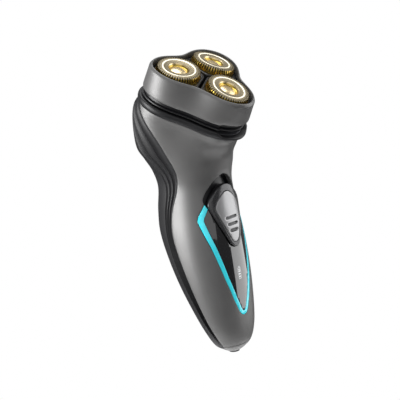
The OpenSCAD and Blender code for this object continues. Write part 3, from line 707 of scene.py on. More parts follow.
PANEL = HalfOutline(((0, 26), (1.6, 26.5), (3.2, 28.4), (6, 35.6), (9.4, 46.9), (13.1, 63.4),
                     (15.5, 76), (15.7, 78.2), (15, 80.4), (11.9, 86)),
                    sharp=((6, 2.0), (7, 1.2), (8, 2.0)), rounding=40)
OPENING = HalfOutline(PANEL.points + ((12.2, 88.6), (10.6, 92), (6.8, 96.4), (3.4, 98.9),
                                      (0, 99.8)),
                      sharp=((6, 2.0), (7, 1.2), (8, 2.0), (9, 0.8)), rounding=12)
PAN = HalfOutline(((0, 61), (3, 62), (8, 72), (11.6, 82), (12.4, 86), (12.4, 88.8), (10.8, 92.2),
                   (6.9, 96.7), (3.5, 99.1), (0, 100)), rounding=12)
BEZEL = HalfOutline(((0, 62.2), (2, 62.9), (3.4, 64.8), (6.6, 72), (10.6, 83.6), (10.9, 86),
                     (9.4, 88.6), (5, 92.9), (2.4, 94.2), (0, 94.5)), rounding=6)
PAD = HalfOutline(((0, 64.8), (1.5, 65.3), (2.6, 66.8), (5, 73.2), (7.7, 82), (7.7, 83.8),
                   (6.4, 86.4), (2.6, 90.1), (0, 91)), rounding=6)


@dataclass
class SkinPiece:
    """Plate cut to a half outline, rounded at its edge, bent on to the handle and mirrored."""

    border: list[Vector]
    top: float
    bottom: float
    edge: float = 0.25
    cell: float = 1.6
    unrolled: bool = False
    zone: Callable[[float, float, float], Zone] | None = None

    def mesh(self, bm: bmesh.types.BMesh | None = None,
             height: Callable[[float, float, float], float] | None = None) -> bmesh.types.BMesh:
        """Builds the plate.

        Args:
            bm: A mesh to add to, or None for a new one.
            height: Function of x, height and depth that gives how far the top stands up there.

        Returns:
            The mesh, in millimetres, in the shaver's frame.
        """
        made = bmesh.new()
        flat = self.border
        if not self.unrolled:
            flat = [Vector(SKIN.unroll(p.x, p.y)) for p in self.border]
        verts = [made.verts.new((max(p.x, 0.0), self.top, p.y)) for p in flat]
        face = made.faces.new(verts)
        found = bmesh.ops.extrude_face_region(made, geom=[face], use_keep_orig=True)
        bmesh.ops.translate(made, vec=(0, self.bottom - self.top, 0), verts=verts_of(found))
        middle = [f for f in made.faces if all(abs(v.co.x) < 1e-6 for v in f.verts)]
        bmesh.ops.delete(made, geom=middle, context="FACES_ONLY")
        loose = [e for e in made.edges if not e.link_faces]
        bmesh.ops.delete(made, geom=loose, context="EDGES")
        self._round_edge(made)
        self._cut_cells(made)
        bmesh.ops.mirror(made, geom=made.verts[:] + made.edges[:] + made.faces[:], axis="X",
                         merge_dist=1e-4)
        bmesh.ops.remove_doubles(made, verts=made.verts, dist=1e-4)
        bmesh.ops.recalc_face_normals(made, faces=made.faces)
        for f in made.faces if self.zone else ():
            place = f.calc_center_median()
            f.material_index = self.zone(place.x, place.z, place.y).value
        for v in made.verts:
            lift = height(v.co.x, v.co.z, v.co.y) if height else 0.0
            v.co = SKIN.rolled(Vector((v.co.x, v.co.y - lift, v.co.z)))
        if bm is None:
            return made
        mesh = bpy.data.meshes.new("part")
        made.to_mesh(mesh)
        made.free()
        bm.from_mesh(mesh)
        bpy.data.meshes.remove(mesh)
        return bm

    def _round_edge(self, made: bmesh.types.BMesh) -> None:
        """Rounds the upper edge all round, but not at the middle line.

        Args:
            made: The flat half plate.
        """
        if self.edge <= 0:
            return
        rim = [e for e in made.edges if all(abs(v.co.y - self.top) < 1e-6 for v in e.verts)
               and not all(abs(v.co.x) < 1e-6 for v in e.verts)]
        bmesh.ops.bevel(made, geom=rim, offset=self.edge, segments=3, profile=0.5, affect="EDGES",
                        material=-1, clamp_overlap=False)

    def _cut_cells(self, made: bmesh.types.BMesh) -> None:
        """Cuts the plate into cells, so that it can bend.

        Args:
            made: The flat half plate.
        """
        xs = [v.co.x for v in made.verts]
        zs = [v.co.z for v in made.verts]
        cuts = [((x, 0, 0), (1, 0, 0)) for x in np.arange(self.cell, max(xs), self.cell)]
        cuts += [((0, 0, z), (0, 0, 1)) for z in np.arange(min(zs) + self.cell, max(zs), self.cell)]
        for place, normal in cuts:
            bmesh.ops.bisect_plane(made, geom=made.verts[:] + made.edges[:] + made.faces[:],
                                   dist=1e-5, plane_co=place, plane_no=normal)


@dataclass
class FrontShell:
    """Graphite front half of the handle, open in front for the panel and the switch."""

    wall: float = 2.0
    gap: float = 0.15
    foot: float = 3.0
    seam: float = 0.2

    def border(self) -> list[Vector]:
        """Draws the half outline: up the opening, round the rim and down the seam.

        Returns:
            Its points on the unrolled skin.
        """
        opening = [Vector(SKIN.unroll(p.x, p.y)) for p in OPENING.path(self.gap)]
        low, high = SKIN.height_of(self.foot), SKIN.height_of(SKIN.last)
        seam = []
        for t in np.linspace(SKIN.last, self.foot, 150):
            seam.append(Vector(((SKIN.parting(t) - self.seam) * ARC_MM, SKIN.height_of(t))))
        return [Vector((0, low)), *opening, Vector((0, high)), *seam]

    def build(self) -> None:
        """Builds the shell."""
        plate = SkinPiece(self.border(), 0.0, self.wall, edge=0.22, cell=1.5, unrolled=True)
        finish_piece(plate.mesh(), "front_shell_skin", "root", ("front_shell",),
                     (GRAPHITE,))


@dataclass
class BackCover:
    """Black back half of the handle, with three long ribs on each side."""

    wall: float = 2.0
    seam: float = 0.2
    start: float = 3.0
    rib_height: float = 0.8
    ribs: int = 3
    ribbed: float = 0.3
    easing: tuple[float, ...] = (-0.6, -0.3, 0.0, 0.3, 0.6)
    columns: int = 180
    rows: int = 150
    border_drop: float = 0.18

    def ridge(self, t: float) -> float:
        """Finds where the ribbed side ends and the plain back begins.

        Args:
            t: The section.

        Returns:
            Degrees from the front.
        """
        rows = (3, 5, 7, 8.5, 9.3, 10.3, 11.2, 12, 13, 14, 15, 16)
        angles = (83, 95, 107, 109, 106, 101, 104, 107, 112, 121, 134, 146)
        return float(np.mean([np.interp(t + shift, rows, angles) for shift in self.easing]))

    def across(self, t: float, share: float) -> float:
        """Returns the angle of a column of the plate, so that the columns run along the ribs.

        Args:
            t: The section.
            share: Place of the column from one side edge, 0, to the other, 1.

        Returns:
            Degrees from the front towards +x, up to 360.
        """
        first, ridge = SKIN.parting(t) + self.seam, self.ridge(t)
        if share > 0.5:
            return 360 - self.across(t, 1 - share)
        if share < self.ribbed:
            return first + (ridge - first) * share / self.ribbed
        return ridge + (180 - ridge) * (share - self.ribbed) / (0.5 - self.ribbed)

    def scoop(self, t: float, share: float) -> float:
        """Finds how deep the side is scooped out between its sharp ridges.

        Args:
            t: The section.
            share: Place of the column from one side edge, 0, to the other, 1.

        Returns:
            The depth, in millimetres.
        """
        place = min(share, 1 - share) / self.ribbed
        fade = smoothstep(3.0, 5.5, t) * (1 - smoothstep(15.4, 15.95, t))
        if place >= 1.0:
            return 0.0
        return self.rib_height * fade * abs(math.sin(math.pi * place * self.ribs)) ** 0.75

    def build(self) -> None:
        """Builds the cover as a plate, rounds its border and bends it on to the handle."""
        bm = bmesh.new()
        low, high = SKIN.height_of(self.start), SKIN.height_of(SKIN.last)
        bmesh.ops.create_grid(bm, x_segments=self.columns, y_segments=self.rows, size=0.5)
        tall = high - low
        for v in bm.verts:
            v.co = Vector((v.co.x + 0.5, 0, low + (v.co.y + 0.5) * tall))
        found = bmesh.ops.extrude_face_region(bm, geom=bm.faces[:], use_keep_orig=True)
        bmesh.ops.translate(bm, vec=(0, self.wall, 0), verts=verts_of(found))
        for v in bm.verts:
            t, outside = SKIN.at_height(v.co.z), v.co.y < 1e-6
            on_border = min(v.co.x, 1 - v.co.x) < 1e-6
            sunk = self.scoop(t, v.co.x) + (self.border_drop if on_border else 0.0)
            depth = v.co.y + (sunk if outside else 0.0)
            v.co = SKIN.point(t, self.across(t, v.co.x), depth)
        finish_piece(bm, "back_cover_skin", "root", ("back_cover", "shell_screws"),
                     (GRIP_BLACK,), crease=48)


@dataclass
class BottomCap:
    """Rounded base of the handle, graphite in front and black behind, with the socket's mouth."""

    foot: float = 2.98
    mouth_r: float = 2.95
    around: int = 144
    tip: float = 1.3
    black_from: float = 77.5

    def build(self) -> None:
        """Builds the base from the seam down, in through the mouth and up inside."""
        bm = bmesh.new()
        loops = []
        for t in (2.2, self.foot - 0.02):
            loops.append([SKIN.point(t, 360 * k / self.around, 2.0) for k in range(self.around)])
        outside = [(t, 0.0) for t in np.linspace(self.foot - 0.05, self.tip, 26)]
        for t, depth in [(self.foot, 0.12), *outside]:
            loops.append([SKIN.point(t, 360 * k / self.around, depth) for k in range(self.around)])
        low = SKIN.point(self.tip, 0).z
        for r, z in ((self.mouth_r + 0.15, low - 0.02), (self.mouth_r, low + 0.15),
                     (self.mouth_r, low + 3)):
            turns = [math.radians(360 * k / self.around) for k in range(self.around)]
            loops.append([Vector((r * math.sin(a), -r * math.cos(a), z)) for a in turns])
        loft(bm, loops, closed=True)
        for f in bm.faces:
            middle = f.calc_center_median()
            angle = abs(math.degrees(math.atan2(middle.x, -middle.y + 0.3)))
            if angle > self.black_from and middle.z > low + 0.3:
                f.material_index = Zone.SECOND.value
        finish_piece(bm, "bottom_cap_skin", "root", ("bottom_cap",),
                     (GRAPHITE, GRIP_BLACK))


@dataclass
class FrontPanel:
    """Gloss panel with its coloured outline and the battery mark."""

    accent: float = 2.0
    gap: float = 0.35
    thickness: float = 1.6
    icon_z: float = 48.2

    def build(self) -> None:
        """Builds the outline, the panel and the mark."""
        outer = PANEL.path(0.0)
        inner = PANEL.path(-self.accent)
        fence = BEZEL.path(self.gap)
        inner_cut, _ = cut_between(inner, fence)
        bm = SkinPiece(outer + inner_cut[::-1], 0.0, self.thickness, edge=0.14, cell=1.5).mesh()
        finish_piece(bm, "accent_outline", "root", ("accent_ring",), (ACCENT_CYAN,))
        edge = PANEL.path(-self.accent - 0.04)
        edge_cut, fence_cut = cut_between(edge, fence)
        border = edge_cut + fence_cut[::-1][1:]
        bm = SkinPiece(border, 0.1, self.thickness, edge=0.1, cell=1.5).mesh()
        finish_piece(bm, "panel_glass", "root", ("display_panel",), (PANEL_BLACK,))
        self.build_icon()

    def build_icon(self) -> None:
        """Builds the battery mark: a frame line of straight bars with bars inside and a nub."""
        bm = bmesh.new()
        z = self.icon_z
        for low, high, half in ((-3.0, -2.7, 1.15), (2.6, 2.9, 1.15), (3.05, 3.5, 0.45),
                                (-2.3, -1.45, 0.75), (-0.95, -0.1, 0.75), (0.4, 1.25, 0.75),
                                (1.6, 2.1, 0.75)):
            bar = [Vector((0, z + low)), Vector((half, z + low)), Vector((half, z + high)),
                   Vector((0, z + high))]
            SkinPiece(bar, 0.06, 0.4, edge=0.0, cell=0.6).mesh(bm)
        side = [Vector((0.95, z - 2.9)), Vector((1.15, z - 2.9)), Vector((1.15, z + 2.8)),
                Vector((0.95, z + 2.8))]
        SkinPiece(side, 0.06, 0.4, edge=0.0, cell=0.6).mesh(bm)
        finish_piece(bm, "battery_mark", "root", ("light_guide",), (ICON_WHITE,))


@dataclass
class PowerSwitch:
    """Sliding switch: its frame, its silver pad and the pan that it slides in."""

    pan_depth: float = 3.8
    frame_rise: float = 1.3
    frame_depth: float = 2.4
    pad_rise: float = 1.7
    slots: tuple[float, ...] = (3.0, 2.5, 1.9)
    first_slot_z: float = 77.4
    slot_pitch: float = 3.3
    slot_sink: float = 0.7
    crown: float = 0.35

    def build(self) -> None:
        """Builds the pan, the frame and the pad."""
        floor = PAN.path(0.0)
        wall = PAN.path(0.95) + PAN.path(0.05)[::-1]
        bm = SkinPiece(floor, self.pan_depth, self.pan_depth + 0.9, edge=0.0, cell=1.6).mesh()
        SkinPiece(wall, 2.2, self.pan_depth + 0.9, edge=0.12, cell=1.6).mesh(bm)
        finish_piece(bm, "switch_pan", "root", ("switch_well",), (PLASTIC_BLACK,))
        border = BEZEL.path(0.0) + PAD.path(0.12)[::-1]
        plate = SkinPiece(border, -self.frame_rise, self.frame_depth, edge=0.4, cell=1.2)
        finish_piece(plate.mesh(height=self.frame_height), "switch_frame", "switch",
                     ("switch_bezel",), (BEZEL_GREY,))
        plate = SkinPiece(PAD.path(0.0), -self.pad_rise + 0.35, 0.25, edge=0.4, cell=0.42,
                          zone=self.pad_zone)
        finish_piece(plate.mesh(height=self.pad_height), "switch_pad_top", "switch",
                     ("switch_pad",), (PAD_SILVER, SLOT_PAINTED_SHADE), crease=50)

    def slot_depth(self, x: float, z: float) -> float:
        """Finds how deep the grip slots are at a place.

        Args:
            x: Distance round the skin from the middle line.
            z: Height.

        Returns:
            0 outside the slots, up to 1 at their floor.
        """
        deepest = 0.0
        for k, half in enumerate(self.slots):
            reach = math.hypot(max(0.0, abs(x) - half), z - self.first_slot_z + self.slot_pitch * k)
            deepest = max(deepest, 1 - smoothstep(0.45, 0.95, reach))
        return deepest

    def pad_zone(self, x: float, z: float, depth: float) -> Zone:
        """Returns the dark grey finish, painted shade in the groove, for the floor of a grip slot
        and silver elsewhere.
        """
        return Zone.SECOND if depth < 0 and self.slot_depth(x, z) > 0.4 else Zone.MAIN

    def frame_height(self, x: float, z: float, depth: float) -> float:
        """Returns how far the frame stands up, less towards its rounded rim."""
        return -0.25 * smoothstep(84, 93, z) if depth < 0 else 0.0

    def pad_height(self, x: float, z: float, depth: float) -> float:
        """Shapes the pad's crown and sinks its grip slots.

        Args:
            x: Distance round the skin from the middle line.
            z: Height.
            depth: Depth under the skin, negative above it.

        Returns:
            How far the pad stands up there, in millimetres.
        """
        if depth > -self.pad_rise + 0.6:
            return 0.0
        crown = self.crown * (1 - (x / 8) ** 2) * (1 - ((z - 78) / 15) ** 2)
        return crown - self.slot_sink * self.slot_depth(x, z)


@dataclass
class LobedRings:
    """Ring, lip and collar that follow the lobed outline of the head."""

    around: int = 264
    notch_drop: float = 1.7
    knuckle_r: float = 1.9
    knuckle_w: float = 6.0
    pin_d: float = 1.8

    def notch(self, angle: float, half: float) -> float:
        """Tells how far an angle is inside the thumb notch at the front.

        Args:
            angle: Degrees from the front.
            half: Half the notch's width, in millimetres.

        Returns:
            1 inside the notch and 0 outside it.
        """
        side = abs(HEAD.side(angle))
        front = math.cos(math.radians(angle)) > 0.5
        return 1 - smoothstep(half - 0.9, half + 0.5, side) if front else 0.0

    def rings(self, profile: Callable[[float], list[tuple[float, float]]]) -> list[list[Vector]]:
        """Returns the loops of a ring.

        Args:
            profile: Function of the angle that gives the ring's offset and height pairs.

        Returns:
            One loop for each place in the profile.
        """
        angles = [360 * k / self.around for k in range(self.around)]
        profiles = [profile(a) for a in angles]
        return [[HEAD.outline(a, *profiles[k][i]) for k, a in enumerate(angles)]
                for i in range(len(profiles[0]))]

    def knuckle(self, bm: bmesh.types.BMesh, x: float, web: float) -> None:
        """Adds a bored hinge barrel with its web.

        Args:
            bm: The mesh, in the head's own frame.
            x: The middle of the barrel.
            web: How far its web reaches up, or down if negative.
        """
        half, steps = self.knuckle_w / 2, 28
        loops = []
        for r, shift in ((self.pin_d / 2 + 0.05, -half), (self.knuckle_r - 0.2, -half),
                         (self.knuckle_r, -half + 0.2), (self.knuckle_r, half - 0.2),
                         (self.knuckle_r - 0.2, half), (self.pin_d / 2 + 0.05, half)):
            loops.append([Vector((x + shift, HINGE_Y + r * math.cos(a), HINGE_Z + r * math.sin(a)))
                          for a in (math.tau * k / steps for k in range(steps))])
        loft(bm, loops, closed=True)
        before = len(bm.verts)
        bmesh.ops.create_cube(bm, size=1)
        size = Matrix.Diagonal((self.knuckle_w - 0.4, 2 * self.knuckle_r - 0.7, abs(web), 1))
        start = math.copysign(self.pin_d / 2 + 0.2, web)
        place = Matrix.Translation((x, HINGE_Y - 0.3, HINGE_Z + start + web / 2))
        transform_new(bm, before, place @ size)

    def build_head_ring(self) -> None:
        """Builds the graphite ring with its chamfered top edge and the notch under its front."""
        def profile(angle: float) -> list[tuple[float, float]]:
            """Draws the ring's section, up the outside and down inside.

            Args:
                angle: Degrees from the front.

            Returns:
                Offset and height pairs, from the foot round to the foot.
            """
            low = RING_BASE + NOTCH_RISE * self.notch(angle, NOTCH_HALF)
            wall = HEAD.wall
            return [(-0.45, low), (-0.12, low + 0.25), (0, low + 0.7), (0.02, -11.5), (0.02, -9),
                    (0, -6), (0, RING_TOP - 1.6), (-0.06, RING_TOP - 1.2), (-0.2, RING_TOP - 0.9),
                    (-0.62, RING_TOP - 0.25), (-0.78, RING_TOP - 0.08), (-1.0, RING_TOP - 0.02),
                    (-wall + 0.15, RING_TOP - 0.05), (-wall, RING_TOP - 0.25),
                    (-wall, RING_TOP - 3), (-wall, -8), (-wall, -11.5), (-wall, low)]
        bm = bmesh.new()
        loft(bm, self.rings(profile), closed=True)
        for side in (-1, 1):
            self.knuckle(bm, side * (self.knuckle_w + 0.2), RING_BASE - HINGE_Z + 0.6)
        bmesh.ops.transform(bm, matrix=HEAD.matrix(), verts=bm.verts)
        finish_piece(bm, "head_ring_skin", "head", ("head_ring",), (GRAPHITE,),
                     crease=50)

    def build_lip(self) -> None:
        """Builds the black base of the ring: a deep recess under the ring, then a thin bead."""
        def profile(angle: float) -> list[tuple[float, float]]:
            """Draws the lip's section, pulled in at the hinge and at the notch.

            Args:
                angle: Degrees from the front.

            Returns:
                Offset and height pairs, from the foot round to the foot.
            """
            notch = self.notch(angle, NOTCH_HALF - 0.3)
            high = RING_BASE - 0.05 + NOTCH_RISE * notch
            side = abs(HEAD.side(angle))
            behind = math.cos(math.radians(angle)) < 0
            pull = -2.6 * (1 - smoothstep(10.2, 10.8, side)) if behind else -1.2 * notch
            return [(-1.3 + pull, LIP_BASE), (-0.5 + pull, LIP_BASE + 0.04),
                    (-0.25 + pull, LIP_BASE + 0.2), (-0.15 + pull, LIP_BASE + 0.5),
                    (-0.25 + pull, LIP_BASE + 0.85),
                    (-0.6 + pull, LIP_BASE + 1.05), (-1.4 + pull, LIP_BASE + 1.2),
                    (-1.45 + pull, -14.6),
                    (-1.6 + pull / 3, high), (-1.6 + pull / 3, -13.4), (-2.7 + pull / 3, -13.4),
                    (-2.7 + pull, LIP_BASE)]
        bm = bmesh.new()
        loft(bm, self.rings(profile), closed=True)
        bmesh.ops.transform(bm, matrix=HEAD.matrix(), verts=bm.verts)
        finish_piece(bm, "head_lip_skin", "head", ("head_lip",), (PLASTIC_BLACK,))

    def build_collar(self) -> None:
        """Builds the collar: one wide bulged band with the sloping thumb notch at the front."""
        def profile(angle: float) -> list[tuple[float, float]]:
            """Draws the collar's section, with its top lowered at the notch.

            Args:
                angle: Degrees from the front.

            Returns:
                Offset and height pairs, from the foot round to the foot.
            """
            front = math.cos(math.radians(angle)) > 0.5
            side = abs(HEAD.side(angle))
            drop = self.notch_drop * (1 - smoothstep(8.6, 11.4, side)) if front else 0.0
            top, low = COLLAR_TOP + 0.4 - drop, RIM_Z
            span = top - low
            return [(-0.3, low + 0.05), (0.15, low + 0.1), (0.5, low + 0.12 * span),
                    (0.82, low + 0.3 * span), (0.98, low + 0.5 * span), (1.0, low + 0.68 * span),
                    (0.88, low + 0.85 * span), (0.68, low + 0.94 * span), (0.4, top), (-2, top),
                    (-2, COLLAR_TOP - 2.65), (-3.6, COLLAR_TOP - 2.65), (-3.6, low - 1.2),
                    (-2.8, low - 1.2), (-2.6, low + 0.05)]
        bm = bmesh.new()
        loft(bm, self.rings(profile), closed=True)
        self.knuckle(bm, 0, -3.2)
        bmesh.ops.transform(bm, matrix=HEAD.matrix(), verts=bm.verts)
        finish_piece(bm, "collar_band", "root", ("collar",), (COLLAR_BLACK,),
                     crease=45)

    def build(self) -> None:
        """Builds the three rings."""
        self.build_head_ring()
        self.build_lip()
        self.build_collar()


@dataclass
class FloatingCap:
    """Floating cap with its black holder."""

    lobe: str
    slots: int = 52
    slot_sink: float = 0.5
    slot_start: float = 9.6
    skirt_bottom: float = -7.8
    flange_r: float = 11.9
    holder_base: float = -8.4
    holder_top: float = -3.4
    half_gap: float = 0.5
    holder_points: int = 160
    outline_points: int = 1440

    @property
    def angle(self) -> float:
        """Angle of the lobe from the front."""
        return LOBES[self.lobe]

    def profile(self) -> list[tuple[float, float, Zone]]:
        """Draws the cap's outside, from the centre to the flange.

        Returns:
            Radius, height and zone of each point.
        """
        r = HEAD.cap_d / 2
        stretches = (
            (Zone.FOURTH, ((0.0, -0.75), (1.2, -0.82), (2.4, -1.02), (3.3, -1.3), (3.75, -1.55))),
            # the wall of the centre recess takes the darker skirt gold: painted shade round the
            # dome
            (Zone.FIFTH, ((4.1, -1.66), (4.5, -1.5), (5.0, -0.85))),
            (Zone.FOURTH, ((5.3, -0.2),)),
            (Zone.MAIN, ((5.55, -0.04), (5.95, 0.0), (7.75, 0.0))),
            # the raised ring takes the pale glowing finish, a painted highlight
            (Zone.SECOND, ((7.9, 0.12), (8.1, 0.2), (8.35, 0.2), (8.5, 0.12))),
            (Zone.MAIN, ((8.65, 0.0), (9.1, 0.0), (9.6, -0.02), (r - 1.0, -0.06),
                         (r - 0.75, -0.16), (r - 0.58, -0.36))),
            (Zone.FIFTH, ((r - 0.4, -0.9), (r - 0.22, -1.6), (r - 0.05, -2.5), (r, -3.0),
                          (r, -7.0), (self.flange_r, -7.0), (self.flange_r, self.skirt_bottom))))
        return [(r, z, zone) for zone, points in stretches for r, z in points]

    def build_cap(self) -> None:
        """Builds the cap by turning its profile, then sinks the slots of its rim and skirt."""
        bm = bmesh.new()
        profile = self.profile()
        verts = [bm.verts.new((r, 0, z)) for r, z, _ in profile]
        edges = [bm.edges.new(pair) for pair in zip(verts, verts[1:])]
        bmesh.ops.spin(bm, geom=verts + edges, cent=(0, 0, 0), axis=(0, 0, 1), angle=math.tau,
                       steps=self.slots * 4, use_merge=True)
        bmesh.ops.remove_doubles(bm, verts=bm.verts, dist=1e-4)
        bmesh.ops.recalc_face_normals(bm, faces=bm.faces)
        if sum(f.normal.z for f in bm.faces) < 0:
            bmesh.ops.reverse_faces(bm, faces=bm.faces)
        for f in bm.faces:
            middle = f.calc_center_median()
            r = math.hypot(middle.x, middle.y)
            f.material_index = self.zone_at(profile, r, middle.z).value
        self.sink_slots(bm)
        matrix = HEAD.cap_matrix(self.angle)
        bmesh.ops.transform(bm, matrix=matrix, verts=bm.verts)
        finish_piece(bm, f"cap_{self.lobe}_shell", f"holder_{self.lobe}", (f"cap_{self.lobe}",),
                     (CAP_TAN, CAP_RING_PAINTED_HIGHLIGHT, CAP_SLOT_PAINTED_SHADE, CAP_GOLD, CAP_SKIRT_AND_RECESS_SHADE),
                     crease=40, recalculate=False)

    @staticmethod
    def zone_at(profile: list[tuple[float, float, Zone]], r: float, z: float) -> Zone:
        """Finds the stretch of the profile nearest to a place.

        Args:
            profile: Radius, height and zone of each point.
            r: Radius of the place.
            z: Its height.

        Returns:
            The stretch's zone.
        """
        stretches = zip(profile, profile[1:])
        nearest = min(stretches, key=lambda pair: abs((pair[0][0] + pair[1][0]) / 2 - r)
                      + abs((pair[0][1] + pair[1][1]) / 2 - z))
        return nearest[1][2]

    def sink_slots(self, bm: bmesh.types.BMesh) -> None:
        """Sinks every second pair of columns, from the rim's inner edge to the middle of the skirt,
        and paints them near-black as painted shade.

        Args:
            bm: The cap, in its own frame.
        """
        cap_r = HEAD.cap_d / 2
        sunk = []
        for f in bm.faces:
            middle = f.calc_center_median()
            r = math.hypot(middle.x, middle.y)
            turn = math.degrees(math.atan2(middle.y, middle.x)) % 360
            column = int(turn / (360 / (self.slots * 4)))
            on_rim = self.slot_start < r < cap_r + 0.1 and middle.z > -2.5
            if on_rim and column % 4 in (0, 1):
                sunk.append(f)
        bmesh.ops.inset_region(bm, faces=sunk, thickness=0.04, depth=0, use_even_offset=True,
                               use_boundary=True)
        inner = {v for f in sunk for v in f.verts}
        for v in inner:
            r = math.hypot(v.co.x, v.co.y)
            on_skirt = smoothstep(cap_r - 0.9, cap_r - 0.4, r)
            v.co.z -= self.slot_sink * (1 - on_skirt)
            if r > 1e-6:
                scale = (r - self.slot_sink * on_skirt) / r
                v.co.x, v.co.y = v.co.x * scale, v.co.y * scale
        # the sunk faces take the near-black finish: painted shade in the slots
        for f in sunk:
            f.material_index = Zone.THIRD.value

    def build_holder(self) -> None:
        """Builds the holder: a third of the lobed face round the cap's bore, with rounded edges."""
        matrix = HEAD.cap_matrix(self.angle)
        to_cap = matrix.inverted() @ HEAD.matrix()
        bore = HEAD.cap_d / 2 + 0.14
        outline = self.outline(to_cap)

        def ring(inset: float, z: float) -> list[Vector]:
            """Moves the outline inwards.

            Args:
                inset: How far, in millimetres.
                z: The loop's height.

            Returns:
                The loop.
            """
            made = []
            for p in outline:
                pull = max(0.0, p.length - inset)
                made.append(Vector((p.x * pull / p.length, p.y * pull / p.length, z)))
            return made

        def circle(r: float, z: float) -> list[Vector]:
            """Returns a round loop at a height, with its points on the outline's rays."""
            return [Vector((r * p.x / p.length, r * p.y / p.length, z)) for p in outline]

        top, base = self.holder_top, self.holder_base
        loops = [ring(0.0, base), ring(0.0, top - 0.9), ring(0.08, top - 0.55),
                 ring(0.28, top - 0.25), ring(0.6, top - 0.06), ring(0.95, top),
                 circle(bore + 0.22, top),
                 circle(bore + 0.05, top - 0.1), circle(bore, top - 0.3), circle(bore, base + 1.6),
                 circle(bore + 0.55, base + 1.5), circle(bore + 0.55, base)]
        bm = bmesh.new()
        loft(bm, loops, closed=True)
        bmesh.ops.transform(bm, matrix=matrix, verts=bm.verts)
        finish_piece(bm, f"holder_{self.lobe}_shell", f"holder_{self.lobe}",
                     (f"holder_{self.lobe}",), (PLASTIC_BLACK,), crease=45)

    def outline(self, to_cap: Matrix) -> list[Vector]:
        """Draws the holder's outline round the cap's middle, at even turns.

        Args:
            to_cap: Transform from the head's frame to the cap's.

        Returns:
            The outline's points, in the cap's frame.
        """
        inset = HEAD.wall + HEAD.holder_gap
        dense = []
        for k in range(self.outline_points):
            a = self.angle + 120 * (k / self.outline_points - 0.5)
            p = HEAD.outline(a, -inset, self.holder_top)
            dense.append(to_cap @ p)
        limit = math.radians(60)
        turned = Matrix.Rotation(math.radians(self.angle), 4, "Z")
        corner = to_cap @ (turned @ Vector((0, -self.half_gap / math.sin(limit), self.holder_top)))
        made = []
        for k in range(self.holder_points):
            turn = math.tau * k / self.holder_points
            ray = Vector((math.sin(turn), -math.cos(turn)))
            reach = self.reach_to_sides(ray, corner, limit)
            reach = min(reach, self.reach_to_outline(ray, dense))
            made.append(Vector((ray.x * reach, ray.y * reach, 0)))
        return self.softened(made)

    @staticmethod
    def reach_to_sides(ray: Vector, corner: Vector, limit: float) -> float:
        """Runs a ray from the cap's middle to the flat sides at the Y gap.

        Args:
            ray: Direction of the ray.
            corner: The corner between the two sides.
            limit: Half the angle between them, in radians.

        Returns:
            The ray's length.
        """
        best = 99.0
        for side in (-1, 1):
            normal = Vector((side * math.cos(limit), math.sin(limit)))
            facing = ray.dot(normal)
            if facing > 1e-6:
                best = min(best, Vector((corner.x, corner.y)).dot(normal) / facing)
        return best

    @staticmethod
    def reach_to_outline(ray: Vector, dense: list[Vector]) -> float:
        """Runs a ray from the cap's middle to the lobed outline.

        Args:
            ray: Direction of the ray.
            dense: Points of the lobed outline.

        Returns:
            The ray's length.
        """
        best = 99.0
        for a, b in zip(dense, dense[1:]):
            side = a.x * ray.y - a.y * ray.x
            other = b.x * ray.y - b.y * ray.x
            if side * other <= 0 and (a.x * ray.x + a.y * ray.y) > 0:
                f = side / (side - other) if side != other else 0
                point = a.lerp(b, f)
                best = min(best, Vector((point.x, point.y)).length)
        return best

    @staticmethod
    def softened(points: list[Vector]) -> list[Vector]:
        """Eases the corners by a few passes of averaging, never outwards.

        Args:
            points: The outline.

        Returns:
            The eased outline.
        """
        for _ in range(5):
            made = []
            for k, p in enumerate(points):
                mean = (points[k - 1] + points[(k + 1) % len(points)] + p * 2) / 4
                made.append(mean if mean.length < p.length else p)
            points = made
        return points

    def build(self) -> None:
        """Builds the cap and its holder."""
        self.build_cap()
        self.build_holder()


# --------------------------------------------------------------------------- carried-over pieces


DRESSES: dict[str, Finish] = {
    "head_bridge": FRAME_PLASTIC, "lock_knob": PLASTIC_BLACK, "hinge_pin": BRIGHT_STEEL,
    "cutter_front": BLADE_STEEL, "cutter_right": BLADE_STEEL, "cutter_left": BLADE_STEEL,
    "chamber_plate": FRAME_PLASTIC, "chamber_seal": SEAL_RUBBER, "gear_front": ACETAL,
    "gear_right": ACETAL, "gear_left": ACETAL, "coupler_front": FRAME_PLASTIC,
    "coupler_right": FRAME_PLASTIC, "coupler_left": FRAME_PLASTIC, "motor_pinion": BRASS,
    "motor_plate": FRAME_PLASTIC, "motor_can": MOTOR_STEEL, "motor_end_cap": ACETAL,
    "motor_rotor": COPPER, "motor_screws": BRIGHT_STEEL, "switch_bracket": FRAME_PLASTIC,
    "slide_switch": MOTOR_STEEL, "status_leds": GUIDE_CLEAR, "circuit_board": BOARD_GREEN,
    "board_screws": BRIGHT_STEEL, "chassis": FRAME_PLASTIC, "battery_cell": CELL_BLUE,
    "contact_top": BRASS, "contact_bottom": BRASS, "charge_socket": PLASTIC_BLACK,
    "jack_contacts": BRASS}


def dress_carried_nodes() -> None:
    """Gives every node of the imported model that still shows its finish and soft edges."""
    for name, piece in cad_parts.items():
        if piece.hide_render:
            continue
        finish = DRESSES[name]
        piece.data.materials.clear()
        piece.data.materials.append(finish.material())
        weld = piece.modifiers.new("weld", "WELD")
        weld.merge_threshold = WELD_MM * MM
        bevel = piece.modifiers.new("soft_edges", "BEVEL")
        bevel.width = SOFT_EDGE_MM * MM
        bevel.segments = 2
        bevel.limit_method = "ANGLE"
        bevel.angle_limit = math.radians(SOFT_EDGE_ANGLE)
        LOG.info("%s: carried over with %s", name, finish.name)


# --------------------------------------------------------------------------- stage


